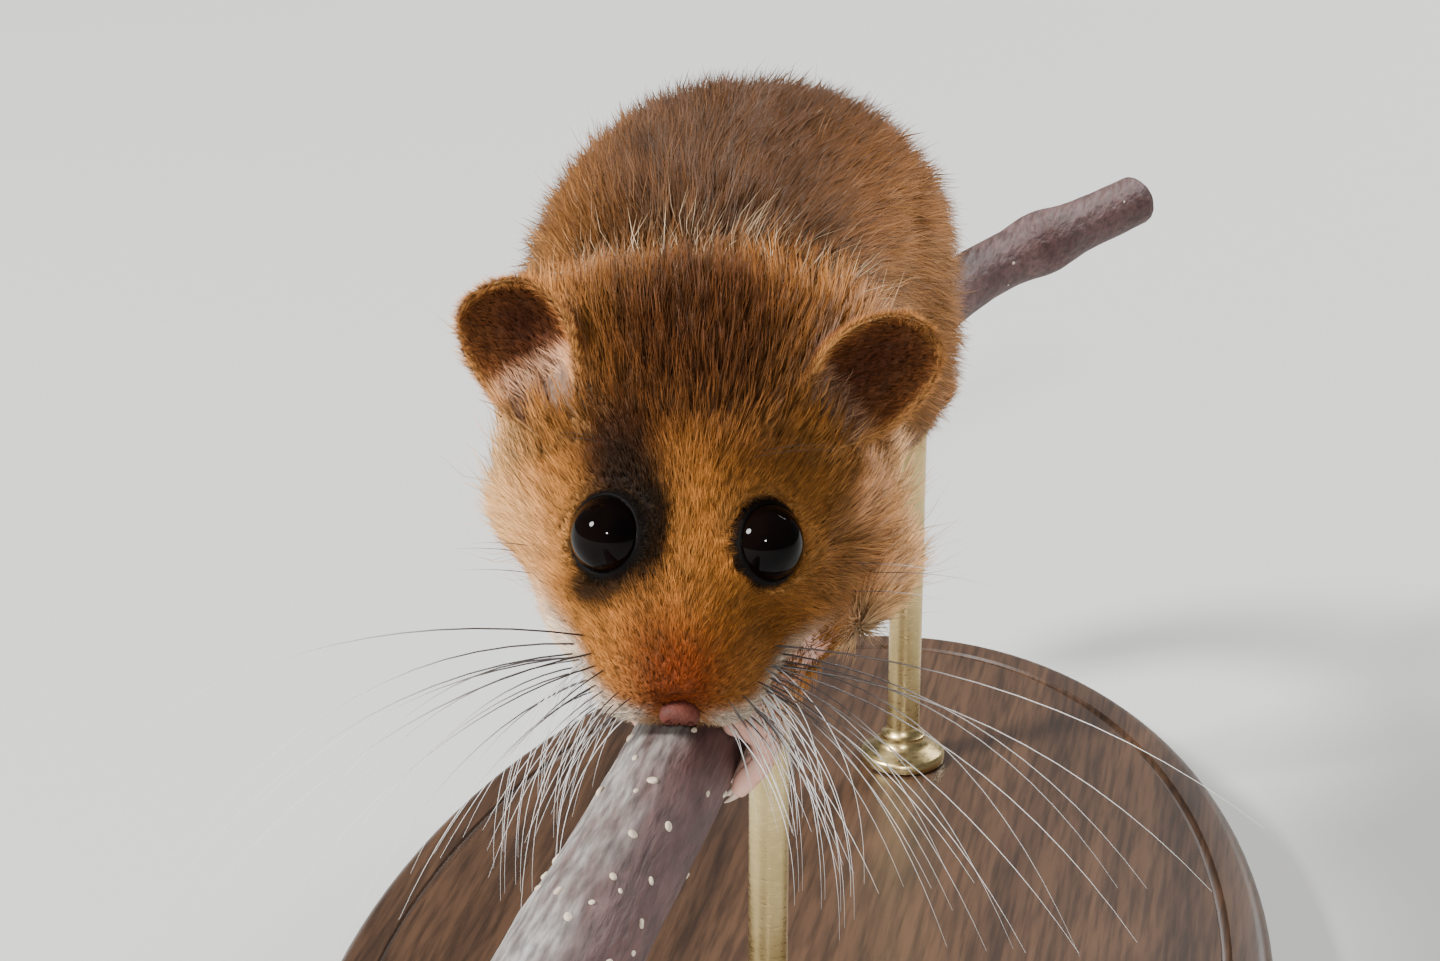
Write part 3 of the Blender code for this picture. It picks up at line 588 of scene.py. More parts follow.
def makeSkin():
    parts = [copiedNode(name, skinSizes["closing"]) for name in fleshNodes]
    skin = keepLargest(fuse(joinedCopy("skin", parts), skinSizes["voxel"], 1))
    mesh = skin.data
    # The fur fills the crease of the neck and the lids are pieces of their own, so both are evened out
    points = pointsOf(mesh)
    f = bodyFields(points, normalsOf(mesh))
    nape = ramp(f["head"][:, 1], 14, 19) * ramp(f["head"][:, 1], 36, 29) * ramp(f["up"], -0.35, 0.2)
    eyes = ramp(f["eyeFar"], eyeSize + 2.6, eyeSize + 1.2)
    points = points + (averaged(mesh, points, skinSizes["napeRounds"]) - points) * nape[:, None]
    points = points + (averaged(mesh, points, skinSizes["eyeRounds"]) - points) * eyes[:, None]
    setPoints(mesh, averaged(mesh, points, 3))
    faces = [tuple(face.vertices) for face in mesh.polygons]
    outside = BVHTree.FromPolygons(pointsOf(mesh).tolist(), faces)
    thick = thicknesses(outside, pointsOf(mesh), normalsOf(mesh))
    depth = np.minimum(depthOfCoat(mesh), skinSizes["mostOfThickness"] * thick)
    depth = averaged(mesh, depth + skinSizes["closing"] + skinSizes["underLids"] * eyes, 8)
    for _ in range(skinSizes["steps"]):
        points = pointsOf(mesh) - normalsOf(mesh) * (depth / skinSizes["steps"])[:, None]
        setPoints(mesh, 0.7 * points + 0.3 * averaged(mesh, points, 3))
    # That smoothing draws round forms in, so the skin is set back to its depth under the solids' surface
    for _ in range(skinSizes["corrections"]):
        points = pointsOf(mesh)
        wrong = depth - depthsUnder(outside, points)
        wrong = averaged(mesh, np.where(np.abs(wrong) < 0.8, wrong, 0.0) * (1 - eyes), 5)
        setPoints(mesh, points - normalsOf(mesh) * wrong[:, None])
    fuse(skin, skinSizes["voxel"], 2)
    points = pointsOf(skin.data)
    nape = inHead(points)[:, 1]
    nape = ramp(nape, 11, 15) * ramp(nape, 38, 30)
    setPoints(skin.data, fuller(points + (averaged(skin.data, points, 40) - points) * nape[:, None]))
    return skin


# Markings, worked out once for the skin and carried by every tuft that grows on it

coatColours = {
    "gold": (0.46, 0.205, 0.050),
    "orange": (0.25, 0.050, 0.010),
    "brown": (0.068, 0.022, 0.007),
    "back": (0.088, 0.042, 0.020),
    "fawn": (0.37, 0.200, 0.082),
    "cream": (0.76, 0.52, 0.27),
    "white": (0.88, 0.80, 0.69),
    "dark": (0.007, 0.004, 0.003),
    "tail": (0.30, 0.150, 0.060),
}
# Spots on the head: the colour, its share in the middle, the most of it, the spot's middle and its radii.
# The crown's darker brown is painted shade.
crownShadeSpots = (
    ("brown", 0.45, 1.0, (0, 13.5, 8.0), (5.5, 4.5, 5.0)),
    ("brown", 1.25, 0.93, (0, 18.0, 9.2), (8.2, 6.2, 5.5)),
)
muzzleSpots = (("orange", 1.3, 0.95, (-0.2, 2.4, 0.6), (2.5, 3.4, 2.4)),)
# Painted shadow beside, over and under the right eye, and down the muzzle from it, partly the fur's own
# darker colour
rightEyeShadowSpots = (
    ("brown", 1.6, 0.96, (-3.9, 12.3, 5.8), (2.1, 2.6, 2.6)),
    ("dark", 1.2, 0.85, (-3.5, 11.6, 5.4), (1.5, 1.7, 2.0)),
    ("dark", 2.0, 0.97, (-2.1, 8.6, 4.2), (1.1, 3.0, 2.0)),
    ("dark", 2.2, 0.95, (-3.9, 6.7, 1.5), (1.7, 1.2, 1.7)),
    ("brown", 0.6, 1.0, (-1.7, 3.4, 1.0), (0.8, 2.4, 1.8)),
)


def markings(f):
    tone = {name: np.array(colour) for name, colour in coatColours.items()}
    q, up = f["head"], f["up"]
    side = np.abs(q[:, 0])
    colour = np.tile(tone["gold"], (len(q), 1))

    def blend(name, share):
        nonlocal colour
        colour = colour * (1 - share)[:, None] + tone[name] * share[:, None]

    def blendSpots(spots, within=1.0):
        for name, share, most, centre, radii in spots:
            away = (q - np.array(centre)) / np.array(radii)
            blend(name, within * np.minimum(share * np.exp(-np.sum(away**2, axis=1)), most))

    head = f["onHead"]
    body = 1 - head
    blend("fawn", body * ramp(up, 0.75, 0.15) * 0.85)
    blend("back", body * ramp(up, 0.0, 0.7) * ramp(np.abs(f["aside"] - 0.5), 13, 3) * 0.92)
    blend("cream", ramp(up, -0.35, -0.85) * 0.85)
    blend("fawn", head * ramp(side, 6.5, 10) * 0.5)
    # Painted light: the right cheek, lit from its side, is made pale cream
    blend("cream", head * ramp(-q[:, 0], 5.0, 9.5) * ramp(q[:, 2], 4.0, -1.5) * 0.75)
    blend("fawn", head * ramp(q[:, 0], 5.0, 9.5) * ramp(q[:, 2], 5.0, 0.0) * 0.8)
    # Painted shade: darker brown over the crown between the ears
    blendSpots(crownShadeSpots)
    blendSpots(muzzleSpots, head)
    lips = ramp(q[:, 2], 0.1 - 0.10 * q[:, 1], -1.2 - 0.12 * q[:, 1]) * ramp(side, 1.1, 2.6)
    blend("white", head * lips * ramp(q[:, 1], 9.5, 4.5) * 0.95)
    blend("cream", head * ramp(q[:, 2], -3.5, -6.5) * 0.8)
    for middle in eyeMiddles.values():
        far = np.linalg.norm(f["points"] - np.array(middle), axis=1)
        blend("dark", ramp(far, eyeSize + 0.40, eyeSize + 0.10) * 0.9)
    # Painted shadow round the right eye and down the muzzle, partly darker fur
    blendSpots(rightEyeShadowSpots)
    blend("tail", f["onTail"] * 0.85)
    return colour


# The way the hairs point: back from the nose, down the flanks and along the tail and the legs.
def lieOfCoat(mesh, f):
    p, n, q = f["points"], f["normals"], f["head"]
    turn = np.array(headTurn)
    fromNose = q - np.array((0, -2.0, 0.6))
    fromNose[:, 1] += 3.0
    headWay = unit(fromNose) @ turn.T
    # On the front of the shoulders the coat points up and over them
    front = ramp(-n[:, 1], 0.1, 0.6) * ramp(f["up"], -0.1, 0.3)
    drop = 0.4 * front - 0.55 * ramp(f["up"], 1.0, 0.1) * (1 - front)
    bodyWay = np.stack([np.sign(f["aside"]) * 0.12, np.full(len(p), 1.0), drop], axis=1)
    ends = np.diff(tailLine[:, :3], axis=0, append=2 * tailLine[-1:, :3] - tailLine[-2:-1, :3])
    tailWay = unit(ends)[f["tailIndex"]]
    way = bodyWay * (1 - f["onHead"])[:, None] + headWay * f["onHead"][:, None]
    way = way * (1 - f["onTail"])[:, None] + tailWay * f["onTail"][:, None]
    for wrist in wrists:
        toWrist = np.array(wrist) - p
        far = np.linalg.norm(toWrist, axis=1)
        way = way + unit(toWrist) * (1.2 * ramp(far, 8, 3) * (f["up"] < 0.5))[:, None]
    for middle in eyeMiddles.values():
        fromEye = p - np.array(middle)
        far = np.linalg.norm(fromEye, axis=1)
        way = way + unit(fromEye) * (1.1 * ramp(far, eyeSize + 2.2, eyeSize))[:, None]
    stir = np.array([noise.noise_vector(Vector(v) * 0.35) for v in p])
    return alongSkin(averaged(mesh, alongSkin(way + 0.22 * stir, n), 4), n)


def dressSkin(skin):
    mesh = skin.data
    normals = unit(averaged(mesh, normalsOf(mesh), 3))
    f = bodyFields(pointsOf(mesh), normals)
    # No tufts grow right at the eyes and inside the perch
    density = ramp(f["eyeFar"], eyeSize + 0.1, eyeSize + 0.35) * ramp(f["perchGap"], -0.2, 0.4)
    setCoat(mesh, markings(f), lieOfCoat(mesh, f), normals, lengthOfCoat(f), density)
    return f


# The coat: one tree of nodes sets tufts on a stretch of skin and leaves them as plain mesh

def coatTree():
    tree = bpy.data.node_groups.new("coatTree", "GeometryNodeTree")
    tree.interface.new_socket("Skin", in_out="INPUT", socket_type="NodeSocketGeometry")
    for name, kind in (
        ("Tufts per square mm", "Float"), ("Seed", "Int"), ("Size variation", "Float"),
        ("Splay", "Float"), ("Raise", "Float"), ("Patch", "Float"), ("Tufts", "Collection"),
        ("Finish", "Material"),
    ):
        tree.interface.new_socket(name, in_out="INPUT", socket_type="NodeSocket" + kind)
    tree.interface.new_socket("Coat", in_out="OUTPUT", socket_type="NodeSocketGeometry")
    given = addNode(tree, "NodeGroupInput").outputs
    result = addNode(tree, "NodeGroupOutput")

    def named(name, kind):
        return addNode(tree, "GeometryNodeInputNamedAttribute", {"Name": name}, data_type=kind).outputs[0]

    def drawn(low, high, salt, kind="FLOAT"):
        first, output = {"FLOAT": (2, 1), "INT": (4, 2)}[kind]
        inputs = {first: low, first + 1: high, "Seed": mathNode(tree, "ADD", given["Seed"], salt)}
        return addNode(tree, "FunctionNodeRandomValue", inputs, data_type=kind).outputs[output]

    thickness = mathNode(tree, "MULTIPLY", given["Tufts per square mm"], named("coatDensity", "FLOAT"))
    roots = addNode(
        tree, "GeometryNodeDistributePointsOnFaces",
        {"Mesh": given["Skin"], "Density": thickness, "Seed": given["Seed"]}, distribute_method="RANDOM",
    )
    shaded = addNode(
        tree, "GeometryNodeStoreNamedAttribute",
        {"Geometry": roots.outputs["Points"], "Name": "shade", "Value": drawn(0.0, 1.0, 11)},
        data_type="FLOAT", domain="POINT",
    )
    stand = addNode(
        tree, "FunctionNodeAxesToRotation",
        {"Primary Axis": named("skinNormal", "FLOAT_VECTOR"),
         "Secondary Axis": named("lie", "FLOAT_VECTOR")},
        primary_axis="Z", secondary_axis="Y",
    )
    backwards = mathNode(tree, "MULTIPLY", given["Splay"], -1.0)
    pitch = mathNode(tree, "ADD", drawn(backwards, given["Splay"], 23), given["Raise"])
    own = addNode(
        tree, "ShaderNodeCombineXYZ",
        {"X": pitch, "Y": drawn(-0.5, 0.5, 31), "Z": drawn(backwards, given["Splay"], 37)},
    )
    lean = addNode(tree, "FunctionNodeEulerToRotation", {"Euler": own.outputs[0]})
    turned = addNode(
        tree, "FunctionNodeRotateRotation",
        {"Rotation": stand.outputs[0], "Rotate By": lean.outputs[0]}, rotation_space="LOCAL",
    )
    least = mathNode(tree, "SUBTRACT", 1.0, given["Size variation"])
    most = mathNode(tree, "ADD", 1.0, given["Size variation"])
    size = mathNode(tree, "MULTIPLY", named("coatLength", "FLOAT"), drawn(least, most, 41))
    kinds = addNode(
        tree, "GeometryNodeCollectionInfo",
        {"Collection": given["Tufts"], "Separate Children": True, "Reset Children": True},
        transform_space="ORIGINAL",
    )
    tufts = addNode(
        tree, "GeometryNodeInstanceOnPoints",
        {"Points": shaded.outputs[0], "Instance": kinds.outputs[0], "Pick Instance": True,
         "Instance Index": drawn(0, 60, 53, "INT"), "Rotation": turned.outputs[0], "Scale": size},
    )
    real = addNode(tree, "GeometryNodeRealizeInstances", {"Geometry": tufts.outputs[0]})
    patch = addNode(
        tree, "ShaderNodeVectorMath", {0: named("tuftPlace", "FLOAT_VECTOR"), "Scale": given["Patch"]},
        operation="SCALE",
    )
    place = addNode(
        tree, "ShaderNodeVectorMath", {0: named("rootPlace", "FLOAT_VECTOR"), 1: patch.outputs[0]},
        operation="ADD",
    )
    mapped = addNode(
        tree, "GeometryNodeStoreNamedAttribute",
        {"Geometry": real.outputs[0], "Name": "OFBake", "Value": place.outputs[0]},
        data_type="FLOAT2", domain="CORNER",
    )
    finish = addNode(
        tree, "GeometryNodeSetMaterial", {"Geometry": mapped.outputs[0], "Material": given["Finish"]}
    )
    tree.links.new(finish.outputs[0], result.inputs[0])
    return tree


def intoCollection(name, objects):
    collection = bpy.data.collections.new(name)
    for obj in objects:
        bpy.context.scene.collection.objects.unlink(obj)
        collection.objects.link(obj)
    return collection


# A few tufts of unit length: hairs of three sides, each a root ring, a middle ring if it bends, and a tip.
def tuftKinds(name, look):
    draw = np.random.default_rng(look["seed"])
    kinds = []
    for number in range(look["kinds"]):
        points, faces, places, along = [], [], [], []
        for _ in range(look["hairs"]):
            aside, back = draw.uniform(-1, 1, 2) * look["rootSpread"]
            reach = draw.uniform(0.8, 1.08)
            tipAside = aside * look["gather"] + draw.normal() * look["tipSpread"]
            rise = look["rise"] * draw.uniform(0.75, 1.25)
            line = [
                (aside, back, -0.04),
                (aside + (tipAside - aside) * 0.35, back + 0.44 * reach, rise * 0.72),
                (tipAside, back * look["gather"] + 0.93 * reach, rise),
            ]
            first = len(points)
            rings = ((0, 1.0), (1, 0.82)) if look["bent"] else ((0, 1.0),)
            for ring, width in rings:
                x, y, z = line[ring]
                r = look["thickness"] * width / 2
                spread = 0.5 * (1 - 0.5 * ring)
                for k in range(3):
                    angle = 2 * math.pi * (k / 3 + 0.25)
                    points.append((x + r * 1.15 * math.cos(angle), y, z + r * math.sin(angle)))
                    places.append((spread * math.cos(angle), spread * math.sin(angle), 0))
                    along.append(0.5 * ring)
            points.append(line[2])
            places.append((0, 0, 0))
            along.append(1.0)
            faces.append((first, first + 1, first + 2))
            last = first + 3 * (len(rings) - 1)
            for k in range(3):
                j = (k + 1) % 3
                if look["bent"]:
                    faces.append((first + j, first + k, last + k, last + j))
                faces.append((last + j, last + k, last + 3))
        kind = meshFrom(f"{name}{number}", points, faces)
        setValues(kind.data, "tuftPlace", np.array(places))
        setValues(kind.data, "along", np.array(along))
        kinds.append(kind)
    return intoCollection(name, kinds)


# A copy of the part of a skin whose points are kept, unwrapped on its own shape.
def stretchOf(skin, name, keep):
    form = bmesh.new()
    form.from_mesh(skin.data)
    form.verts.ensure_lookup_table()
    gone = [v for v, kept in zip(form.verts, keep) if not kept]
    bmesh.ops.delete(form, geom=gone, context="VERTS")
    mesh = bpy.data.meshes.new(name)
    form.to_mesh(mesh)
    form.free()
    stretch = newObject(name, mesh)
    mesh.uv_layers.active = mesh.uv_layers.new(name="rootPlace")
    bpy.ops.object.select_all(action="DESELECT")
    bpy.context.view_layer.objects.active = stretch
    stretch.select_set(True)
    bpy.ops.object.mode_set(mode="EDIT")
    bpy.ops.mesh.select_all(action="SELECT")
    bpy.ops.uv.smart_project(angle_limit=math.radians(66), island_margin=0.004)
    bpy.ops.object.mode_set(mode="OBJECT")
    return stretch


coatNodes = coatTree()
coatTotal = []
# What the look of a coat says unless its own dictionary says otherwise
coatHabits = {"variation": 0.3, "splay": 0.2, "raise": 0.0, "patch": 0.003}


# Grows tufts on a stretch of skin, as so many pieces of mesh, and removes the stretch.
def growCoat(name, stretch, tufts, look, material, slotName, layers=1, mapped=True):
    look = {**coatHabits, **look}
    ids = {item.name: item.identifier for item in coatNodes.interface.items_tree if item.in_out == "INPUT"}
    for layer in range(layers):
        grown = newObject(f"{name}{layer + 1}" if layers > 1 else name, stretch.data.copy())
        modifier = grown.modifiers.new("coat", "NODES")
        modifier.node_group = coatNodes
        values = {
            "Tufts per square mm": float(look["density"]) / layers, "Seed": look["seed"] + 7 * layer,
            "Size variation": look["variation"], "Splay": look["splay"], "Raise": look["raise"],
            "Patch": look["patch"], "Tufts": tufts, "Finish": material,
        }
        for key, value in values.items():
            modifier[ids[key]] = value
        applyModifiers(grown)
        for spare in ("lie", "skinNormal", "coatLength", "coatDensity", "tuftPlace", "rootPlace"):
            if spare in grown.data.attributes:
                grown.data.attributes.remove(grown.data.attributes[spare])
        if not mapped:
            grown.data.attributes.remove(grown.data.attributes["OFBake"])
        triangles = sum(len(p.vertices) - 2 for p in grown.data.polygons)
        coatTotal.append(triangles)
        print(f"{grown.name}: {triangles} triangles")
        finishPiece(grown, None, slotName)
    removeObjects(stretch)


skin = makeSkin()
fields = dressSkin(skin)
print(f"skin: {len(skin.data.polygons)} faces")


# Ears: a cup of skin with a thin rim, and short hair on both faces

earPoses = {
    left: {"tip": (0.74, 0.48, 0.46), "opening": (0.16, -0.66, 0.60)},
    right: {"tip": (-0.56, 0.61, 0.56), "opening": (-0.30, -0.70, 0.50)},
}
earSizes = {
    "root": (8.0, 16.7, 4.6), "sunk": 2.3, "length": 8.8, "width": 6.8, "thick": 0.40, "rim": 0.12,
    "across": 36, "steps": 6, "fold": 0.22, "paleTo": {left: 0.34, right: 0.42},
    "taper": {left: 0.45, right: 0.05},
}
# Share of the ear's length, of its half width, and the half turn that it wraps round
earRows = [
    (0.0, 0.46, 118), (0.15, 0.62, 104), (0.35, 0.84, 82), (0.60, 0.98, 62), (0.80, 0.88, 52),
    (0.92, 0.64, 46), (0.985, 0.30, 42),
]
earColours = {
    "outer": (0.26, 0.095, 0.030), "rim": (0.56, 0.27, 0.085), "inner": (0.110, 0.034, 0.014),
    "hollow": (0.54, 0.34, 0.23),
}


def earFrame(side):
    pose = earPoses[side]
    tip, opening = Vector(pose["tip"]).normalized(), Vector(pose["opening"]).normalized()
    width = tip.cross(opening).normalized()
    turn = Matrix((width, tip, width.cross(tip))).transposed().to_4x4()
    root = Vector((earSizes["root"][0] * side, *earSizes["root"][1:]))
    return headPlace @ Matrix.Translation(root - tip * earSizes["sunk"]) @ turn


def makeEar(side):
    rows = throughRows(earRows, earSizes["steps"])
    across = earSizes["across"]
    grid = {0: [], 1: []}
    shares = []
    for share, width, wrap in rows:
        width *= 1 - earSizes["taper"][side] * max(share - 0.45, 0.0)
        halfTurn = math.radians(wrap)
        radius = width * earSizes["width"] / 2 / math.sin(min(halfTurn, math.pi / 2))
        for k in range(across + 1):
            t = 2 * k / across - 1
            edge = max(abs(t) ** 3, ((share - 0.75) / 0.25) ** 2 if share > 0.75 else 0.0)
            thick = earSizes["thick"] * (1 - edge) + earSizes["rim"] * edge
            fold = earSizes["fold"] * math.exp(-((share - 0.52 + 0.25 * t) / 0.07) ** 2) * (1 - t * t)
            roll = 0.5 * edge * max(0.0, abs(t) - 0.6)
            for face, offset in ((0, -fold - roll), (1, thick - roll)):
                angle = halfTurn * t
                x = (radius + offset) * math.sin(angle)
                depth = (radius + offset) * math.cos(angle) - radius * math.cos(halfTurn) * 0.6
                grid[face].append(Vector((x, share * earSizes["length"], -depth)))
            shares.append((share, t))
    wide, count = across + 1, len(grid[0])
    faces = []
    for i in range(len(rows) - 1):
        for k in range(across):
            a, b, c, d = (i * wide + k, i * wide + k + 1, (i + 1) * wide + k + 1, (i + 1) * wide + k)
            faces += [(a, b, c, d), (count + d, count + c, count + b, count + a)]
        for k in (0, across):
            a = i * wide + k
            faces.append((a, a + wide, count + a + wide, count + a))
    for i in (0, len(rows) - 1):
        for k in range(across):
            a = i * wide + k
            faces.append((a, a + 1, count + a + 1, count + a))
    place = earFrame(side)
    ear = meshFrom("earSkin", [place @ p for p in grid[0] + grid[1]], faces)
    return ear, np.array(shares + shares), np.array([0.0] * count + [1.0] * count)


def dressEar(ear, side, shares, isOuter):
    mesh = ear.data
    points, normals = pointsOf(mesh), normalsOf(mesh)
    place = np.array(earFrame(side).to_3x3())
    share, across = shares.T
    rim = np.maximum(ramp(np.abs(across), 0.80, 0.98), ramp(share, 0.89, 0.98))
    deep = np.exp(-((across / 0.5) ** 2)) * ramp(share, 0.95, 0.7)
    low = ramp(share, earSizes["paleTo"][side], earSizes["paleTo"][side] - 0.2)
    tone = {name: np.array(colour) for name, colour in earColours.items()}

    def mixed(a, b, share):
        return a * (1 - share)[:, None] + b * share[:, None]

    inner = mixed(np.tile(tone["outer"] * 0.8, (len(share), 1)), tone["inner"], deep)
    inner = mixed(mixed(inner, tone["hollow"], low), tone["rim"], rim * 0.8)
    outer = mixed(np.tile(tone["outer"], (len(share), 1)), tone["rim"], rim)
    colour = mixed(inner, outer, isOuter)
    out = np.sign(across) * np.abs(across) ** 1.5
    way = place @ np.array([out, 0.75 + 0.4 * rim, rim * 0.2])
    length = 0.6 + (0.3 - 0.25 * rim + 0.7 * low) * (1 - isOuter)
    density = (0.6 + 0.4 * isOuter + 0.5 * rim) * ramp(share, 0.10, 0.24)
    setCoat(mesh, colour, alongSkin(way.T, normals), unit(normals), length, density)


# How far each point of the head lies in the mouth of an ear, where the head grows no hair.
def earHollow(points):
    inside = np.zeros(len(points))
    for side in (left, right):
        local = (points - np.array(earFrame(side).translation)) @ np.array(earFrame(side).to_3x3())
        x, y, z = local.T
        reach = ramp(np.abs(x), 3.0, 2.2) * ramp(y, 0.2, 1.4) * ramp(y, 6.0, 5.0) * ramp(z, -3.4, -2.4)
        inside = np.maximum(inside, reach * ramp(z, 1.9, 1.1))
    return inside


hollow = earHollow(fields["points"])
setValues(skin.data, "coatDensity", valuesOf(skin.data, "coatDensity") * (1 - hollow))
colours = markings(fields)
colours = colours * (1 - hollow)[:, None] + np.array(earColours["hollow"]) * 0.6 * hollow[:, None]
setValues(skin.data, "coatColour", colours)

coatFinish = coatMaterial()
tuftLooks = {
    "faceTuft": {
        "seed": 3, "kinds": 8, "hairs": 3, "thickness": 0.048, "rootSpread": 0.16, "gather": 0.9,
        "tipSpread": 0.08, "rise": 0.36, "bent": False,
    },
    "earTuft": {
        "seed": 6, "kinds": 6, "hairs": 3, "thickness": 0.036, "rootSpread": 0.24, "gather": 0.9,
        "tipSpread": 0.14, "rise": 0.42, "bent": False,
    },
    "pawTuft": {
        "seed": 4, "kinds": 6, "hairs": 3, "thickness": 0.035, "rootSpread": 0.2, "gather": 0.9,
        "tipSpread": 0.1, "rise": 0.3, "bent": False,
    },
    "bodyTuft": {
        "seed": 5, "kinds": 8, "hairs": 3, "thickness": 0.0205, "rootSpread": 0.07, "gather": 0.7,
        "tipSpread": 0.05, "rise": 0.35, "bent": True,
    },
    "fineTuft": {
        "seed": 8, "kinds": 8, "hairs": 3, "thickness": 0.0145, "rootSpread": 0.11, "gather": 0.85,
        "tipSpread": 0.06, "rise": 0.33, "bent": False,
    },
    "guardHair": {
        "seed": 9, "kinds": 4, "hairs": 1, "thickness": 0.0065, "rootSpread": 0.0, "gather": 1.0,
        "tipSpread": 0.06, "rise": 0.42, "bent": True,
    },
}
tuftSets = {name: tuftKinds(name, look) for name, look in tuftLooks.items()}
back = fields["head"][:, 1]
onBody = (fields["onHead"] < 0.06) & (fields["onTail"] < 0.5)
# Each stretch of the coat: where it grows, its tufts, how many on a square mm, its seed and its layers
stretches = {
    "coatFace": ((back < 13) & (fields["onHead"] > 0.5), "faceTuft", 46.0, 101, 2),
    "coatCrown": ((back > 12) & (fields["onHead"] > 0.02), "bodyTuft", 10.0, 131, 2),
    "coatBody": (onBody, "bodyTuft", 2.1, 161, 1),
    "coatFine": (onBody, "fineTuft", 13.4, 171, 3),
    "coatTail": (fields["onTail"] > 0.3, "fineTuft", 11.0, 191, 1),
}
for name, (keep, kind, density, seed, layers) in stretches.items():
    look = {"density": density, "seed": seed, "variation": 0.22, "splay": 0.16}
    slotName = "tail_coat" if name == "coatTail" else "coat"
    stretch = stretchOf(skin, name + "Skin", keep)
    growCoat(name, stretch, tuftSets[kind], look, coatFinish, slotName, layers)

# Single long hairs: pale ones in a band over the shoulders, their paleness partly painted highlight, and
# more of the coat's own colour
guardLook = {
    "density": 1.6, "seed": 211, "variation": 0.25, "colour": (0.80, 0.66, 0.47), "highlightBand": (24.5, 2.6),
    "longer": 1.08,
}
cheekLook = {"density": 2.6, "seed": 217, "variation": 0.35, "splay": 0.3, "raise": 0.4, "longer": 1.2}


def growSingleHairs(name, keep, look):
    stretch = stretchOf(skin, name + "Skin", keep)
    mesh = stretch.data
    colour, share = valuesOf(mesh, "coatColour") * 1.25, np.ones(len(mesh.vertices))
    # The pale band on the upturned shoulders is painted highlight as well as pale hairs
    if "highlightBand" in look:
        middle, wide = look["highlightBand"]
        highlightBand = np.exp(-(((inHead(pointsOf(mesh))[:, 1] - middle) / wide) ** 2))
        highlightBand = highlightBand * (normalsOf(mesh)[:, 2] > 0.2)
        share = 0.22 + 1.8 * highlightBand
        colour = colour * (1 - highlightBand)[:, None] + np.array(look["colour"]) * highlightBand[:, None]
    setValues(mesh, "coatLength", valuesOf(mesh, "coatLength") * look["longer"])
    setValues(mesh, "coatDensity", share)
    setValues(mesh, "coatColour", colour)
    growCoat(name, stretch, tuftSets["guardHair"], look, coatFinish, "coat")


aside, height = np.abs(fields["head"][:, 0]), fields["head"][:, 2]
overShoulders = (back > 16) & (fields["onTail"] < 0.5) & (fields["up"] > -0.5)
onCheeks = (back > 5) & (back < 15.5) & (aside > 4.5) & (height < 4.5) & (height > -8)
growSingleHairs("coatGuardHairs", overShoulders, guardLook)
growSingleHairs("coatCheekHairs", onCheeks, cheekLook)
finishPiece(skin, skinMaterial("skinUnderCoat"), "coat", *fleshNodes)

earSkin = skinMaterial("earSkin")
for side, name in ((left, "Left"), (right, "Right")):
    ear, shares, isOuter = makeEar(side)
    dressEar(ear, side, shares, isOuter)
    stretch = stretchOf(ear, "earStretch", np.ones(len(ear.data.vertices), bool))
    look = {"density": 42.0, "seed": 241 + side}
    growCoat("coatEar" + name, stretch, tuftSets["earTuft"], look, coatFinish, "ear")
    ear.name = "ear" + name
    finishPiece(ear, earSkin, "ear", "ear_" + name.lower())
print("ears made")


# Eyes: a glossy ball with a slight bulge, in a dark lid with a wet edge

eyeShape = {"swell": 1.005, "bulge": 0.035, "rings": 40, "sides": 64}
# Each row of a lid: its distance from the eye's axis and its height along it, in shares of the eye's radius
lidShape = {
    "rows": (
        (0.975, 0.19), (0.985, 0.235), (1.01, 0.255), (1.045, 0.235), (1.11, 0.155), (1.20, 0.08),
        (1.30, 0.0), (1.40, -0.14), (1.50, -0.34), (1.30, -0.50), (1.02, -0.10),
    ),
    "points": 72, "wetAt": 77.0, "wet": 0.026, "hair": (0.30, 0.75),
}


def eyeAxes(side):
    facing = eyeFacings[side]
    front = (headTurn @ Vector((-0.35 * side, -1, 0))).normalized()
    across = (front - facing * front.dot(facing)).normalized()
    return facing, across, facing.cross(across)


def onEye(side, polar, angle, radius):
    facing, across, over = eyeAxes(side)
    rim = across * math.cos(angle) + over * math.sin(angle)
    return eyeMiddles[side] + (facing * math.cos(polar) + rim * math.sin(polar)) * radius


def makeEye(side):
    rings = []
    for i in range(1, eyeShape["rings"]):
        polar = math.pi * i / eyeShape["rings"]
        radius = eyeSize * (eyeShape["swell"] + eyeShape["bulge"] * math.exp(-((polar / 0.7) ** 2)))
        sides = range(eyeShape["sides"])
        rings.append([onEye(side, polar, 2 * math.pi * k / eyeShape["sides"], radius) for k in sides])
    return loft("eye", rings)


def makeLid(side):
    lid, wet = [], []
    facing, across, over = eyeAxes(side)
    for k in range(lidShape["points"]):
        angle = 2 * math.pi * k / lidShape["points"]
        rim = across * math.cos(angle) + over * math.sin(angle)
        rows = lidShape["rows"]
        lid.append([eyeMiddles[side] + (rim * far + facing * height) * eyeSize for far, height in rows])
        edge = onEye(side, math.radians(lidShape["wetAt"]), angle, eyeSize)
        lift = (edge - eyeMiddles[side]).normalized()
        wet.append(ringOf(edge, facing.cross(rim).cross(lift), lift, lidShape["wet"], lidShape["wet"], 6))
    return loft("lid", lid, True), loft("wet", wet, True)


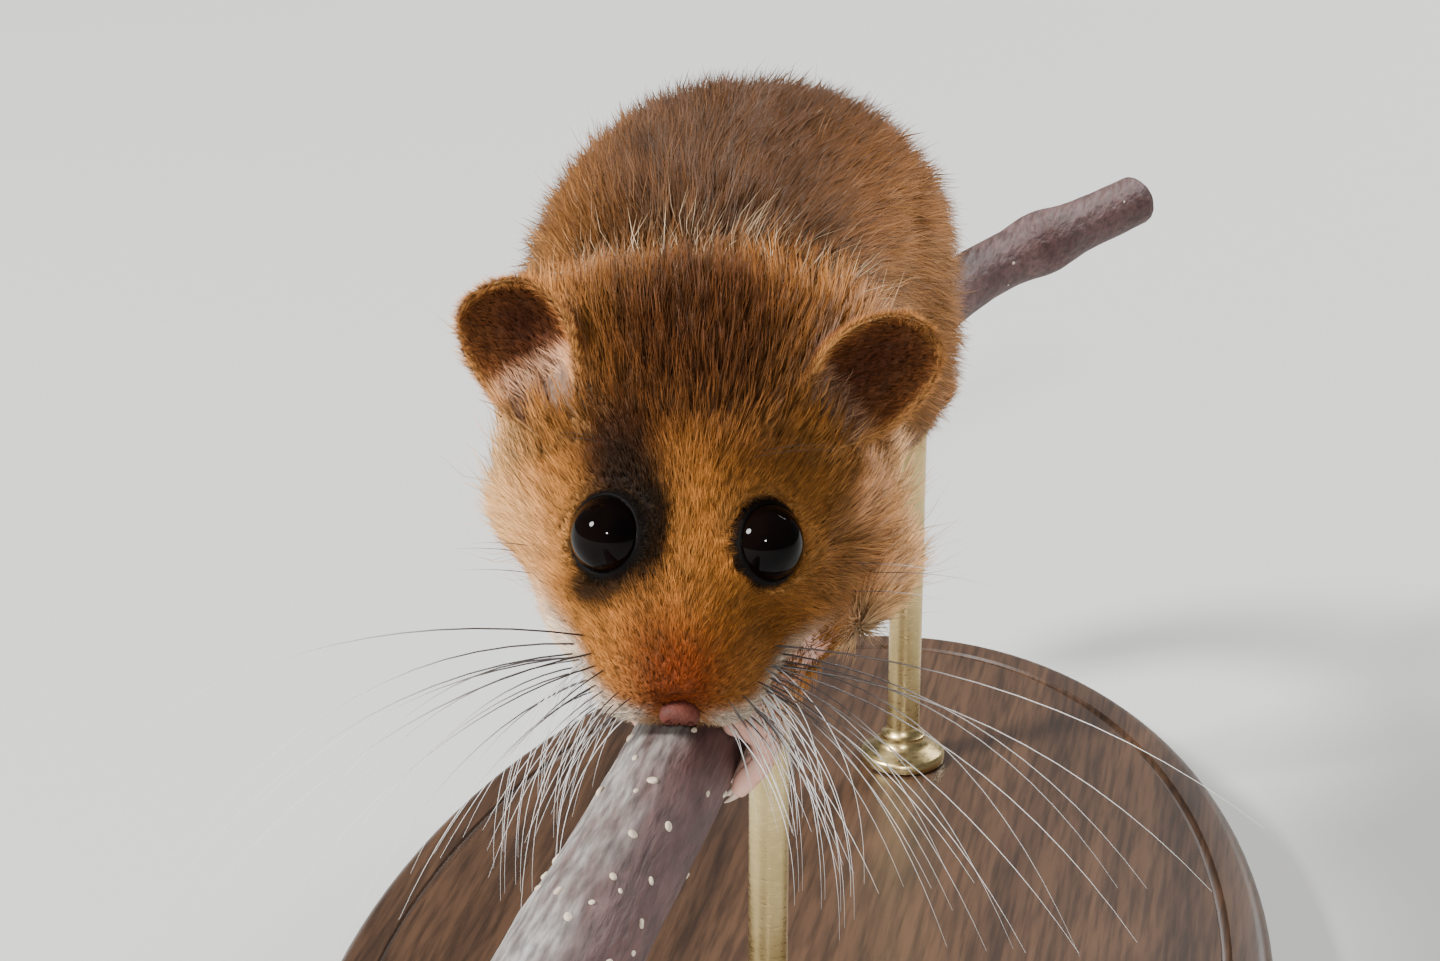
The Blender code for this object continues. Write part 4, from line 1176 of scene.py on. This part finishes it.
# Short hair on the outer side of a lid, dark at its edge.
def dressLid(lid, side):
    facing = np.array(eyeAxes(side)[0])
    points, normals = pointsOf(lid.data), normalsOf(lid.data)
    away = points - np.array(eyeMiddles[side])
    way = away - np.outer(away @ facing, facing)
    far = np.linalg.norm(way, axis=1) / eyeSize
    outer = ramp(far, 1.02, 1.2)
    # Every seventh point of the skin is near enough to take its colour from
    nearest = np.argmin(np.linalg.norm(fields["points"][None, ::7] - points[:, None], axis=2), axis=1)
    colour, dark = colours[::7][nearest], np.array(coatColours["dark"])
    colour = dark + (colour - dark) * (0.04 + 0.96 * outer)[:, None]
    short, long = lidShape["hair"]
    density = ramp(far, 1.02, 1.08) * (normals @ facing > 0.1)
    setCoat(lid.data, colour, alongSkin(way, normals), normals, short + (long - short) * outer, density)


def eyeMaterial():
    look = {"Roughness": 0.025, "IOR": 1.34, "Specular IOR Level": 0.14}
    material, tree, shader = newMaterial("eye", look)
    cloud = noiseNode(tree, placeOn(tree), 420.0, 2.0)
    tone = rampNode(tree, cloud, [(0.35, (0.0012, 0.0008, 0.0008)), (0.75, (0.004, 0.002, 0.0014))])
    tree.links.new(tone, shader.inputs["Base Color"])
    return material


# Bare skin: two tones, grains so many to the metre, and small bumps so many mm high.
def bareMaterial(name, colours, grain, bump, look):
    material, tree, shader = newMaterial(name, look)
    where = placeOn(tree)
    cloud = noiseNode(tree, where, grain * 0.22, 3.0)
    cells = addNode(tree, "ShaderNodeTexVoronoi", {"Vector": where, "Scale": grain})
    tone = rampNode(tree, cloud, [(0.3, colours[0]), (0.7, colours[1])])
    tree.links.new(tone, shader.inputs["Base Color"])
    addBump(tree, shader, cells.outputs["Distance"], 0.5, bump * mm)
    return material


eyeFinish = eyeMaterial()
lidFinish = bareMaterial("lid", [(0.0016, 0.0010, 0.0009), (0.0034, 0.0022, 0.0018)], 5000.0, 0.03,
                         {"Roughness": 0.6, "Specular IOR Level": 0.08})
wetFinish = bareMaterial("lidEdge", [(0.004, 0.003, 0.003), (0.007, 0.006, 0.006)], 4000.0, 0.01,
                         {"Roughness": 0.16, "Specular IOR Level": 0.3})
for side, name in ((left, "Left"), (right, "Right")):
    eye = makeEye(side)
    eye.name = "eye" + name
    finishPiece(eye, eyeFinish, "eye", "eye_" + name.lower())
    lid, wet = makeLid(side)
    lid.name, wet.name = "lid" + name, "lidEdge" + name
    dressLid(lid, side)
    stretch = stretchOf(lid, "lidStretch", np.ones(len(lid.data.vertices), bool))
    look = {"density": 75.0, "seed": 221 + side}
    growCoat("coatLid" + name, stretch, tuftSets["faceTuft"], look, coatFinish, "coat")
    finishPiece(lid, lidFinish, "coat")
    finishPiece(wet, wetFinish, "eye")
print("eyes made")


# The nose pad, with a slit nostril on each side and a groove down its middle

noseShape = {
    "pad": ((0.98, 0.70, 0.50), (0, 0.66, -0.40)), "wing": ((0.52, 0.62, 0.46), (0.58, 0.60, -0.54)),
    "nostril": ((0.18, 0.60, 0.22), (0.64, -0.06, -0.50)), "groove": ((0.08, 0.5, 0.60), (0, -0.20, -0.70)),
    "voxel": 0.055,
}


def makeNose():
    parts = [headEllipsoid(*noseShape["pad"])]
    radii, centre = noseShape["wing"]
    parts += [headEllipsoid(radii, (centre[0] * side, *centre[1:])) for side in (left, right)]
    nose = fuse(joinedCopy("nose", parts), noseShape["voxel"], 6)
    radii, centre = noseShape["nostril"]
    for side in (left, right):
        cutAway(nose, headEllipsoid(radii, (centre[0] * side, *centre[1:]), 0.5 * side, 20))
    cutAway(nose, headEllipsoid(*noseShape["groove"], 0.0, 20))
    return fuse(nose, noseShape["voxel"], 2)


nose = makeNose()
noseFinish = bareMaterial("nosePad", [(0.060, 0.014, 0.009), (0.125, 0.034, 0.022)], 6500.0, 0.05,
                          {"Roughness": 0.6, "Specular IOR Level": 0.22})
nose.name = "nosePad"
finishPiece(nose, noseFinish, "nose", "nose")


# Paws that grip the perch: a palm, digits wrapped round, and a claw on each

handGrip = {"digits": 4, "root": 1.05, "tip": 1.5, "radius": 0.66, "palm": 1.7, "claw": 0.95, "arch": 1.0}
footGrip = {
    "digits": 5, "from": 66, "to": 138, "root": 1.05, "tip": 1.8, "lean": -1.6, "radius": 0.58, "palm": 1.5,
    "claw": 1.05, "arch": 0.5,
}
# The digits start so far back from the tip of the nose and wrap from one angle to another, in degrees.
# The wrist: across, back from the tip of the nose, and above the top of the perch.
grips = {
    "hand_left": {
        **handGrip, "side": left, "back": 6.4, "from": 52, "to": 124, "lean": 0.4, "wrist": (5.4, 9.6, 5.2),
    },
    "hand_right": {
        **handGrip, "side": right, "back": 13.5, "from": 50, "to": 122, "lean": -0.5,
        "wrist": (5.4, 16.6, 5.4),
    },
    "foot_left": {**footGrip, "side": left, "back": 44.0, "wrist": (6.0, 55.0, 3.6)},
    "foot_right": {**footGrip, "side": right, "back": 46.0, "wrist": (6.2, 57.0, 3.6)},
}
pawVoxel = 0.12
perchTop = headPose["nose"][2] - 4.6


def perchAt(y):
    x, z, radius = (float(np.interp(y, perchLine[:, 1], perchLine[:, k])) for k in (0, 2, 3))
    return Vector((x, y, z)), radius


def roundPerch(y, angle, distance, side):
    middle, _ = perchAt(y)
    return middle + Vector((math.sin(angle) * side * distance, 0, math.cos(angle) * distance))


def makePaw(grip):
    side, y = grip["side"], headPose["nose"][1] + grip["back"]
    _, perchRadius = perchAt(y)
    start, end = math.radians(grip["from"]), math.radians(grip["to"])
    flesh, claws, knuckles = [], [], []
    for k in range(grip["digits"]):
        place = k - (grip["digits"] - 1) / 2
        shorter = 1.0 - 0.07 * place**2
        rows = []
        for t, swell in ((0.0, 0.0), (0.3, 0.10), (0.6, 0.02), (0.85, 0.16), (1.0, 0.0)):
            angle = start + (end - start) * shorter * t
            thick = grip["radius"] * (1.0 - 0.22 * t + swell)
            hug = perchRadius + thick + 0.05 + grip["arch"] * math.sin(math.pi * min(t * 1.25, 1.0))
            along = y + place * (grip["root"] + (grip["tip"] - grip["root"]) * t) + grip["lean"] * t
            rows.append((*roundPerch(along, angle, hug, side), thick))
        flesh.append(tube("digit", rows, 4, 14))
        knuckles.append(Vector(rows[0][:3]))
        last, before = Vector(rows[-1][:3]), Vector(rows[-2][:3])
        way = (last - before).normalized()
        curl = (perchAt(last.y)[0] - last).normalized()
        clawRows = []
        for t, radius in ((-0.3, 0.26), (0.15, 0.24), (0.5, 0.17), (0.8, 0.10), (1.0, 0.035)):
            reach = grip["radius"] * 0.35 + grip["claw"] * t
            clawRows.append((*(last + way * reach + curl * (0.28 * max(t, 0) ** 2)), radius))
        claws.append(tube("claw", clawRows, 3, 10))
    across, back, above = grip["wrist"]
    wrist = Vector((across * side, headPose["nose"][1] + back, perchTop + above))
    root = sum(knuckles, Vector()) / len(knuckles)
    out = (root - perchAt(y)[0]).normalized()
    for knuckle in knuckles:
        middle = knuckle.lerp(wrist, 0.5) + out * 0.15
        rows = [
            (*knuckle, grip["radius"] * 1.1), (*middle, grip["radius"] * 1.25), (*wrist, grip["palm"] * 0.8),
        ]
        flesh.append(tube("palm", rows, 4, 14))
    deeper = wrist + (wrist - root).normalized() * 2.2
    thick = grip["palm"]
    arm = [(*root.lerp(wrist, 0.55), thick), (*wrist, thick * 0.95), (*deeper, thick * 0.95)]
    flesh.append(tube("wrist", arm, 4, 16))
    paw = fuse(joinedCopy("paw", flesh), pawVoxel, 4)
    return paw, joinedCopy("claws", claws), wrist


pawFinish = bareMaterial("pawSkin", [(0.62, 0.31, 0.23), (0.76, 0.47, 0.37)], 3000.0, 0.025,
                         {"Roughness": 0.5, "Specular IOR Level": 0.4})
clawFinish = bareMaterial("claw", [(0.50, 0.36, 0.27), (0.72, 0.58, 0.46)], 1500.0, 0.01,
                          {"Roughness": 0.28, "Specular IOR Level": 0.5})
pawHair = {"density": 20.0, "seed": 261, "raise": 0.05, "colour": (0.78, 0.62, 0.47)}
for name, grip in grips.items():
    paw, claws, wrist = makePaw(grip)
    kind, sideName = name.split("_")
    points, normals = pointsOf(paw.data), normalsOf(paw.data)
    fromWrist = points - np.array(wrist)
    far = np.linalg.norm(fromWrist, axis=1)
    _, perchIndex = nearestOn(perchLine, points)
    facing = np.sum(normals * unit(points - perchLine[perchIndex, :3]), axis=1)
    atWrist = ramp(far, 4.5, 1.5)[:, None]
    colour = np.array(pawHair["colour"]) * (1 - atWrist) + np.array(coatColours["gold"]) * atWrist
    length = 1.3 - 0.7 * ramp(far, 2.0, 6.0)
    density = ramp(facing, 0.0, 0.5) * ramp(far, 7.2, 4.5)
    setCoat(paw.data, colour, alongSkin(unit(fromWrist), normals), unit(normals), length, density)
    stretch = stretchOf(paw, "pawStretch", facing > -0.2)
    piece = f"coat{kind.title()}{sideName.title()}"
    growCoat(piece, stretch, tuftSets["pawTuft"], pawHair, coatFinish, "paw")
    paw.name, claws.name = kind + sideName.title(), f"{kind}Claws{sideName.title()}"
    finishPiece(paw, pawFinish, "paw", name)
    finishPiece(claws, clawFinish, "paw")
print("paws made")
print(f"coat: {sum(coatTotal)} triangles")


# The perch: a twig with slight knots, cut square at both ends

perchShape = {"sides": 56, "steps": 6, "waver": 0.07, "ripple": 0.05, "film": 0.75}
knots = [(24.0, 0.5, 2.6), (54.0, 0.45, 2.6), (-61.0, 0.12, 2.6)]


def makePerch():
    rows = throughRows(perchLine[::2], perchShape["steps"])
    path = [Vector(r[:3]) for r in rows]
    rings = []
    for i, (point, row) in enumerate(zip(path, rows)):
        along = (path[min(i + 1, len(path) - 1)] - path[max(i - 1, 0)]).normalized()
        side = along.cross(zAxis).normalized()
        up = side.cross(along)
        radius = row[3] + sum(rise * math.exp(-(((point.y - y) / wide) ** 2)) for y, rise, wide in knots)
        ring = []
        for p in ringOf(point, side, up, 1.0, 1.0, perchShape["sides"]):
            way = p - point
            broad = noise.noise(Vector((way.x * 1.2, point.y * 0.09, way.z * 1.2)))
            fine = noise.noise(Vector((way.x * 7, point.y * 0.5, way.z * 7 + 9)))
            rough = radius - 0.04 + perchShape["waver"] * broad + perchShape["ripple"] * fine
            ring.append(point + way * rough)
        rings.append(ring)
    chamfered = []
    for ring, inner, out in ((rings[0], 1, -1), (rings[-1], -2, 1)):
        centre = sum(ring, Vector()) / len(ring)
        chamfered.append([[centre + (p - centre) * share for p in ring] for share in (0.96, 0.5)])
    low, high = chamfered
    cut = [low[1], low[0]] + rings + [high[0], high[1]]
    perch = loft("perch", cut)
    isCut = np.zeros(len(perch.data.vertices))
    sides = perchShape["sides"]
    isCut[:2 * sides] = 1.0
    isCut[(len(cut) - 2) * sides:] = 1.0
    setValues(perch.data, "cutWood", isCut)
    return perch


def barkMaterial():
    material, tree, shader = newMaterial("bark", {"Roughness": 0.62, "Specular IOR Level": 0.35})
    where = placeOn(tree)
    stretched = drawnOut(tree, where, (1.0, 0.16, 1.0))
    grain = noiseNode(tree, stretched, 2600.0, 4.0)
    streak = noiseNode(tree, stretched, 900.0, 6.0)
    cells = addNode(tree, "ShaderNodeTexVoronoi", {"Vector": stretched, "Scale": 1500.0})
    wrinkle = mathNode(tree, "MULTIPLY", cells.outputs["Distance"], 0.5)
    bark = rampNode(tree, noiseNode(tree, where, 190.0, 5.0), [
        (0.30, (0.070, 0.030, 0.027)), (0.55, (0.120, 0.058, 0.053)), (0.75, (0.19, 0.105, 0.098)),
    ])
    streaks = rampNode(tree, streak, [(0.36, 0.25), (0.62, 0.95)])
    patchy = mathNode(tree, "MULTIPLY", attributeOf(tree, "film"), streaks)
    pale = rampNode(tree, grain, [(0.35, (0.29, 0.27, 0.25)), (0.65, (0.44, 0.43, 0.40))])
    toned = mixNode(tree, patchy, bark, pale)
    grained = mixNode(tree, 1.0, toned, rampNode(tree, grain, [(0.3, 0.55), (0.65, 1.12)]), "MULTIPLY")
    wood = rampNode(tree, grain, [(0.3, (0.42, 0.30, 0.17)), (0.7, (0.62, 0.48, 0.30))])
    full = mixNode(tree, attributeOf(tree, "cutWood"), grained, wood)
    tree.links.new(full, shader.inputs["Base Color"])
    addBump(tree, shader, mathNode(tree, "ADD", wrinkle, grain), 0.8, 0.0002)
    return material


perch = makePerch()
points, normals = pointsOf(perch.data), normalsOf(perch.data)
film = ramp(normals @ np.array((-0.80, 0.0, 0.60)), 0.05, 0.75) * perchShape["film"]
setValues(perch.data, "film", film * ramp(points[:, 1], 30, -20) + 0.15 * film)

# Lenticels: small raised blisters, long across the twig's bark
lenticelLook = {"density": 0.075, "seed": 307, "variation": 0.35, "splay": 0.25}
lenticelSizes = ((0.62, 1.0), (0.5, 0.85), (0.8, 0.9))


def lenticelKinds():
    kinds = []
    for number, (wide, longer) in enumerate(lenticelSizes):
        rings = [
            ringOf(zAxis * height, xAxis, yAxis, wide * size, longer * size, 10)
            for size, height in ((1.0, -0.25), (1.0, 0.05), (0.72, 0.24), (0.3, 0.24))
        ]
        kinds.append(loft(f"lenticel{number}", rings))
    return intoCollection("lenticels", kinds)


lie = np.tile((0.0, 1.0, 0.0), (len(points), 1))
length, density = 0.20 + 0.14 * ramp(points[:, 1], 20, -40), 0.35 + 0.65 * ramp(points[:, 1], 0, -35)
setCoat(perch.data, None, lie, unit(normals), length, density)
lenticelTones = [(0.52, 0.42, 0.30), (0.70, 0.60, 0.46)]
lenticelFinish = bareMaterial("lenticel", lenticelTones, 3000.0, 0.04, {"Roughness": 0.8})
stretch = stretchOf(perch, "perchStretch", np.abs(points[:, 1] + 2) < 64)
growCoat("lenticels", stretch, lenticelKinds(), lenticelLook, lenticelFinish, "bark", 1, False)
perch.name = "perchTwig"
finishPiece(perch, barkMaterial(), "bark", "perch")
print("perch made")


# The stand: an oval base with a routed groove, and two turned rods

standShape = {"length": 118.0, "width": 66.0, "thick": 6.0, "edge": 1.2, "sides": 120}
# A rod's turned foot and top: shares of its radius, each with the height over the base or below the top
rodShape = {
    "radius": 1.3, "sides": 40, "places": {"stand_rod_front": -14.0, "stand_rod_back": 34.0},
    "foot": (
        (2.3, 0.02), (2.6, 0.2), (2.6, 0.8), (2.45, 1.0), (1.7, 1.5), (1.35, 2.0), (1.35, 2.4),
        (1.12, 2.6), (1.0, 3.2),
    ),
    "top": (
        (1.0, 5.4), (1.25, 5.2), (1.25, 4.8), (1.0, 4.6), (1.1, 4.0), (1.5, 2.6), (1.95, 1.4),
        (2.15, 0.5), (2.2, 0.0),
    ),
}


def makeBase():
    thick, edge = standShape["thick"], standShape["edge"]
    outline = [(6.0, 0.0), (0.5, 0.0), (0.1, 0.15), (0.0, 0.5), (0.0, thick - edge)]
    for k in range(1, 7):
        angle = math.radians(15 * k)
        outline.append((edge * (1 - math.cos(angle)), thick - edge * (1 - math.sin(angle))))
    groove = ((3.0, 0.0), (3.12, 0.22), (3.4, 0.32), (3.68, 0.22), (3.8, 0.0), (12.0, 0.0))
    outline += [(inset, thick - deep) for inset, deep in groove]
    rings = []
    for inset, height in outline:
        length, width = standShape["length"] / 2 - inset, standShape["width"] / 2 - inset
        rings.append(ringOf(zAxis * height, yAxis, xAxis, length, width, standShape["sides"]))
    return loft("standBase", rings)


def makeRod(y):
    middle, radius = perchAt(y)
    foot, top = standShape["thick"], middle.z - radius * 0.35
    profile = [(size, foot + height) for size, height in rodShape["foot"]]
    profile += [(size, top - depth) for size, depth in rodShape["top"]]
    rings = []
    for size, height in profile:
        wide = rodShape["radius"] * size
        rings.append(ringOf(Vector((middle.x, y, height)), xAxis, yAxis, wide, wide, rodShape["sides"]))
    return loft("rod", rings)


def woodMaterial():
    material, tree, shader = newMaterial("varnishedWood", {
        "Roughness": 0.42, "Specular IOR Level": 0.4, "Coat Weight": 0.08, "Coat Roughness": 0.25,
    })
    long = drawnOut(tree, placeOn(tree), (1.0, 0.07, 1.0))
    rings = addNode(
        tree, "ShaderNodeTexNoise", {"Vector": long, "Scale": 130.0, "Detail": 6.0, "Distortion": 0.6}
    ).outputs["Fac"]
    pores = noiseNode(tree, long, 2400.0, 3.0)
    tone = rampNode(tree, rings, [
        (0.32, (0.040, 0.020, 0.011)), (0.5, (0.085, 0.043, 0.022)), (0.68, (0.052, 0.026, 0.014)),
    ])
    full = mixNode(tree, 1.0, tone, rampNode(tree, pores, [(0.35, 0.55), (0.6, 1.1)]), "MULTIPLY")
    tree.links.new(full, shader.inputs["Base Color"])
    addBump(tree, shader, pores, 0.15, 0.00008)
    return material


def brassMaterial():
    material, tree, shader = newMaterial("brushedBrass", {"Metallic": 1.0})
    where = placeOn(tree)
    brushed = noiseNode(tree, drawnOut(tree, where, (0.25, 0.25, 1.0)), 5200.0, 2.0)
    cloud = noiseNode(tree, where, 160.0, 3.0)
    tone = rampNode(tree, cloud, [(0.3, (0.50, 0.37, 0.16)), (0.7, (0.66, 0.51, 0.25))])
    tree.links.new(tone, shader.inputs["Base Color"])
    tree.links.new(rampNode(tree, brushed, [(0.3, 0.24), (0.7, 0.40)]), shader.inputs["Roughness"])
    addBump(tree, shader, brushed, 0.2, 0.00003)
    return material


base = makeBase()
base.name = "standBase"
finishPiece(base, woodMaterial(), "stand_wood", "stand_base")
base.data.set_sharp_from_angle(angle=math.radians(40))
brassFinish = brassMaterial()
for node, y in rodShape["places"].items():
    rod = makeRod(y)
    rod.name = "standRodFront" if node.endswith("front") else "standRodBack"
    finishPiece(rod, brassFinish, "stand_metal", node)
    rod.data.set_sharp_from_angle(angle=math.radians(50))
print("stand made")


# Whiskers: lines that droop, given their thickness by a tree of nodes

whiskerLook = {
    "seed": 17, "rows": 4, "columns": 6, "least": 7.0, "most": 31.0, "thick": 0.105, "points": 14,
    "front": 1.5, "apart": 0.82, "top": 0.1, "drop": 0.72, "lipHairs": 18, "chinHairs": 14,
}


def whiskerTree():
    tree = bpy.data.node_groups.new("whiskerTree", "GeometryNodeTree")
    tree.interface.new_socket("Lines", in_out="INPUT", socket_type="NodeSocketGeometry")
    tree.interface.new_socket("Sides", in_out="INPUT", socket_type="NodeSocketInt")
    tree.interface.new_socket("Finish", in_out="INPUT", socket_type="NodeSocketMaterial")
    tree.interface.new_socket("Whiskers", in_out="OUTPUT", socket_type="NodeSocketGeometry")
    given = addNode(tree, "NodeGroupInput").outputs
    result = addNode(tree, "NodeGroupOutput")
    curves = addNode(tree, "GeometryNodeMeshToCurve", {"Mesh": given["Lines"]})
    thick = addNode(tree, "GeometryNodeInputNamedAttribute", {"Name": "thick"}, data_type="FLOAT").outputs[0]
    outline = addNode(
        tree, "GeometryNodeCurvePrimitiveCircle", {"Resolution": given["Sides"], "Radius": 1.0},
        mode="RADIUS",
    )
    skinned = addNode(
        tree, "GeometryNodeCurveToMesh",
        {"Curve": curves.outputs[0], "Profile Curve": outline.outputs[0], "Fill Caps": True, "Scale": thick},
    )
    real = addNode(tree, "GeometryNodeRealizeInstances", {"Geometry": skinned.outputs[0]})
    finish = addNode(
        tree, "GeometryNodeSetMaterial", {"Geometry": real.outputs[0], "Material": given["Finish"]}
    )
    tree.links.new(finish.outputs[0], result.inputs[0])
    return tree


surface = BVHTree.FromObject(skin, bpy.context.evaluated_depsgraph_get())


# Where a ray in mm meets the finished skin, which is in metres.
def skinHit(start, aim):
    hit = surface.ray_cast(start * mm, aim)[0]
    return hit / mm if hit else None


def rootAt(side, back, height):
    start = headPlace @ Vector((12.0 * side, back - 2.0, height))
    return skinHit(start, (headTurn @ Vector((-1.0 * side, 0.17, 0))).normalized())


# A line from its root, straight at first and then bending under its own weight, "pale" to "end" in tone.
def whiskerLine(root, way, length, droop, thick, pale=0.0, bend=0.12, end=1.0):
    way = way.normalized()
    rows = []
    for t in np.linspace(0, 1, whiskerLook["points"]):
        point = root + way * (length * t * (1 - bend * t)) - zAxis * (length * droop * t * t)
        rows.append((*point, thick * (1 - 0.88 * t) / 2, pale + (end - pale) * t))
    return rows


def whiskerLines():
    look = whiskerLook
    draw = np.random.default_rng(look["seed"])
    lines = []

    def grow(root, way, *shape):
        lines.append(whiskerLine(root, headTurn @ way, *shape))

    def drawnWay(side, aside, ahead, rise):
        return Vector((draw.uniform(*aside) * side, draw.uniform(*ahead), draw.uniform(*rise)))

    for side in (left, right):
        for row in range(look["rows"]):
            for column in range(look["columns"]):
                share = column / (look["columns"] - 1)
                back = look["front"] + look["apart"] * column + draw.normal() * 0.15
                height = look["top"] - look["drop"] * row - 0.10 * column + draw.normal() * 0.10
                root = rootAt(side, back, height)
                if root is None:
                    continue
                length = look["least"] + (look["most"] - look["least"]) * share**1.15
                length = length * draw.uniform(0.78, 1.08)
                aside = 0.62 + 0.18 * share
                way = Vector((aside * side, -0.62 + 0.50 * share + 0.10 * row, 0.10 - 0.20 * row))
                way += Vector(draw.normal(size=3) * 0.07)
                droop = 0.42 - 0.10 * share + 0.10 * row + draw.uniform(-0.06, 0.10)
                grow(root, way, length * (1 - 0.07 * row), droop, look["thick"] * (0.72 + 0.28 * share))
        # White hairs of the lips, curving down round the twig
        for _ in range(look["lipHairs"]):
            root = rootAt(side, draw.uniform(1.3, 5.2), draw.uniform(-2.4, -1.0))
            if root is not None:
                way = drawnWay(side, (0.45, 0.95), (-0.9, -0.35), (-0.35, 0.1))
                length, thick = draw.uniform(6.0, 13.0), look["thick"] * draw.uniform(0.5, 0.75)
                grow(root, way, length, draw.uniform(0.6, 0.9), thick, 0.45, 0.5)
        for _ in range(look["chinHairs"]):
            root = rootAt(side, draw.uniform(1.6, 4.6), draw.uniform(-3.0, -2.0))
            if root is not None:
                way = drawnWay(side, (0.25, 0.7), (-0.8, -0.3), (-0.7, -0.3))
                grow(root, way, draw.uniform(3.0, 7.0), 0.4, look["thick"] * 0.5, 0.5, 0.3)
        # Fine dark hairs over each eye
        for aside, back, length in ((3.0, 12.6, 7.0), (3.4, 13.0, 6.0)):
            root = skinHit(headPlace @ Vector((aside * side, back, 14.0)), headTurn @ -zAxis)
            if root is not None:
                way = Vector((0.75 * side, -0.15, 0.75))
                grow(root, way, length, 0.12, look["thick"] * 0.4, 0.0, 0.12, 0.15)
        # Long hairs on the cheeks
        for back, height in ((10.5, -2.2), (12.5, -3.4), (11.5, -0.8)):
            root = rootAt(side, back, height)
            if root is not None:
                grow(root, Vector((0.9 * side, 0.1, 0.05)), draw.uniform(7, 11), 0.2, look["thick"] * 0.5)
    return lines


def whiskerMaterial():
    material, tree, shader = newMaterial("whisker", {"Roughness": 0.3, "Specular IOR Level": 0.55})
    tone = rampNode(tree, attributeOf(tree, "along"), [
        (0.0, (0.016, 0.010, 0.009)), (0.26, (0.045, 0.032, 0.028)), (0.45, (0.50, 0.46, 0.43)),
        (0.7, (0.86, 0.85, 0.83)),
    ])
    tree.links.new(tone, shader.inputs["Base Color"])
    return material


lines = whiskerLines()
points, edges, thick, along = [], [], [], []
for rows in lines:
    first = len(points)
    points += [row[:3] for row in rows]
    thick += [row[3] for row in rows]
    along += [row[4] for row in rows]
    edges += [(first + k, first + k + 1) for k in range(len(rows) - 1)]
mesh = bpy.data.meshes.new("whiskers")
mesh.from_pydata(points, edges, [])
setValues(mesh, "thick", np.array(thick))
setValues(mesh, "along", np.array(along))
whiskers = newObject("whiskers", mesh)
modifier = whiskers.modifiers.new("whiskers", "NODES")
modifier.node_group = whiskerTree()
ids = {item.name: item.identifier for item in modifier.node_group.interface.items_tree}
modifier[ids["Sides"]] = 6
modifier[ids["Finish"]] = whiskerMaterial()
applyModifiers(whiskers)
finishPiece(whiskers, None, "coat")
print(f"whiskers: {len(lines)}")


# Camera, lights and floor

cameraPlace = {
    "at": (31.36, -183.4, 114.93), "towards": (-0.1865, 0.914, -0.3612), "lens": 75.0, "sensor": 36.0,
}
studioLook = {
    "sky": (0.92, 0.95, 1.0, 1.0), "strength": 0.19, "floor": (0.62, 0.62, 0.60, 1.0), "reach": 3.0,
}
lights = {
    "keyLight": {"at": (-900, -620, 980), "aim": (0, -20, 55), "size": 340, "watts": 43.0},
    "frontLight": {"at": (200, -1100, 620), "aim": (0, -35, 50), "size": 90, "watts": 9.0},
    "rimLight": {"at": (420, 800, 760), "aim": (0, 0, 60), "size": 420, "watts": 14.0},
}


def makeStudio():
    data = bpy.data.cameras.new("camera")
    data.lens = cameraPlace["lens"]
    data.sensor_width = cameraPlace["sensor"]
    data.clip_start = 0.01
    data.clip_end = 20.0
    camera = newObject("camera", data)
    camera.location = Vector(cameraPlace["at"]) * mm
    camera.rotation_euler = Vector(cameraPlace["towards"]).to_track_quat("-Z", "Y").to_euler()
    bpy.context.scene.camera = camera
    for name, look in lights.items():
        lamp = bpy.data.lights.new(name, "AREA")
        lamp.shape = "DISK"
        lamp.size = look["size"] * mm
        lamp.energy = look["watts"]
        place = newObject(name, lamp)
        place.location = Vector(look["at"]) * mm
        aim = Vector(look["aim"]) - Vector(look["at"])
        place.rotation_euler = aim.to_track_quat("-Z", "Y").to_euler()
    world = bpy.data.worlds.new("studio")
    world.use_nodes = True
    sky = world.node_tree.nodes["Background"].inputs
    sky["Color"].default_value = studioLook["sky"]
    sky["Strength"].default_value = studioLook["strength"]
    bpy.context.scene.world = world
    reach = studioLook["reach"]
    corners = [(-reach, -reach, 0), (reach, -reach, 0), (reach, reach, 0), (-reach, reach, 0)]
    floor = meshFrom("floor", corners, [(0, 1, 2, 3)])
    material, _, _ = newMaterial("floor", {"Base Color": studioLook["floor"], "Roughness": 0.8})
    floor.data.materials.append(material)


makeStudio()
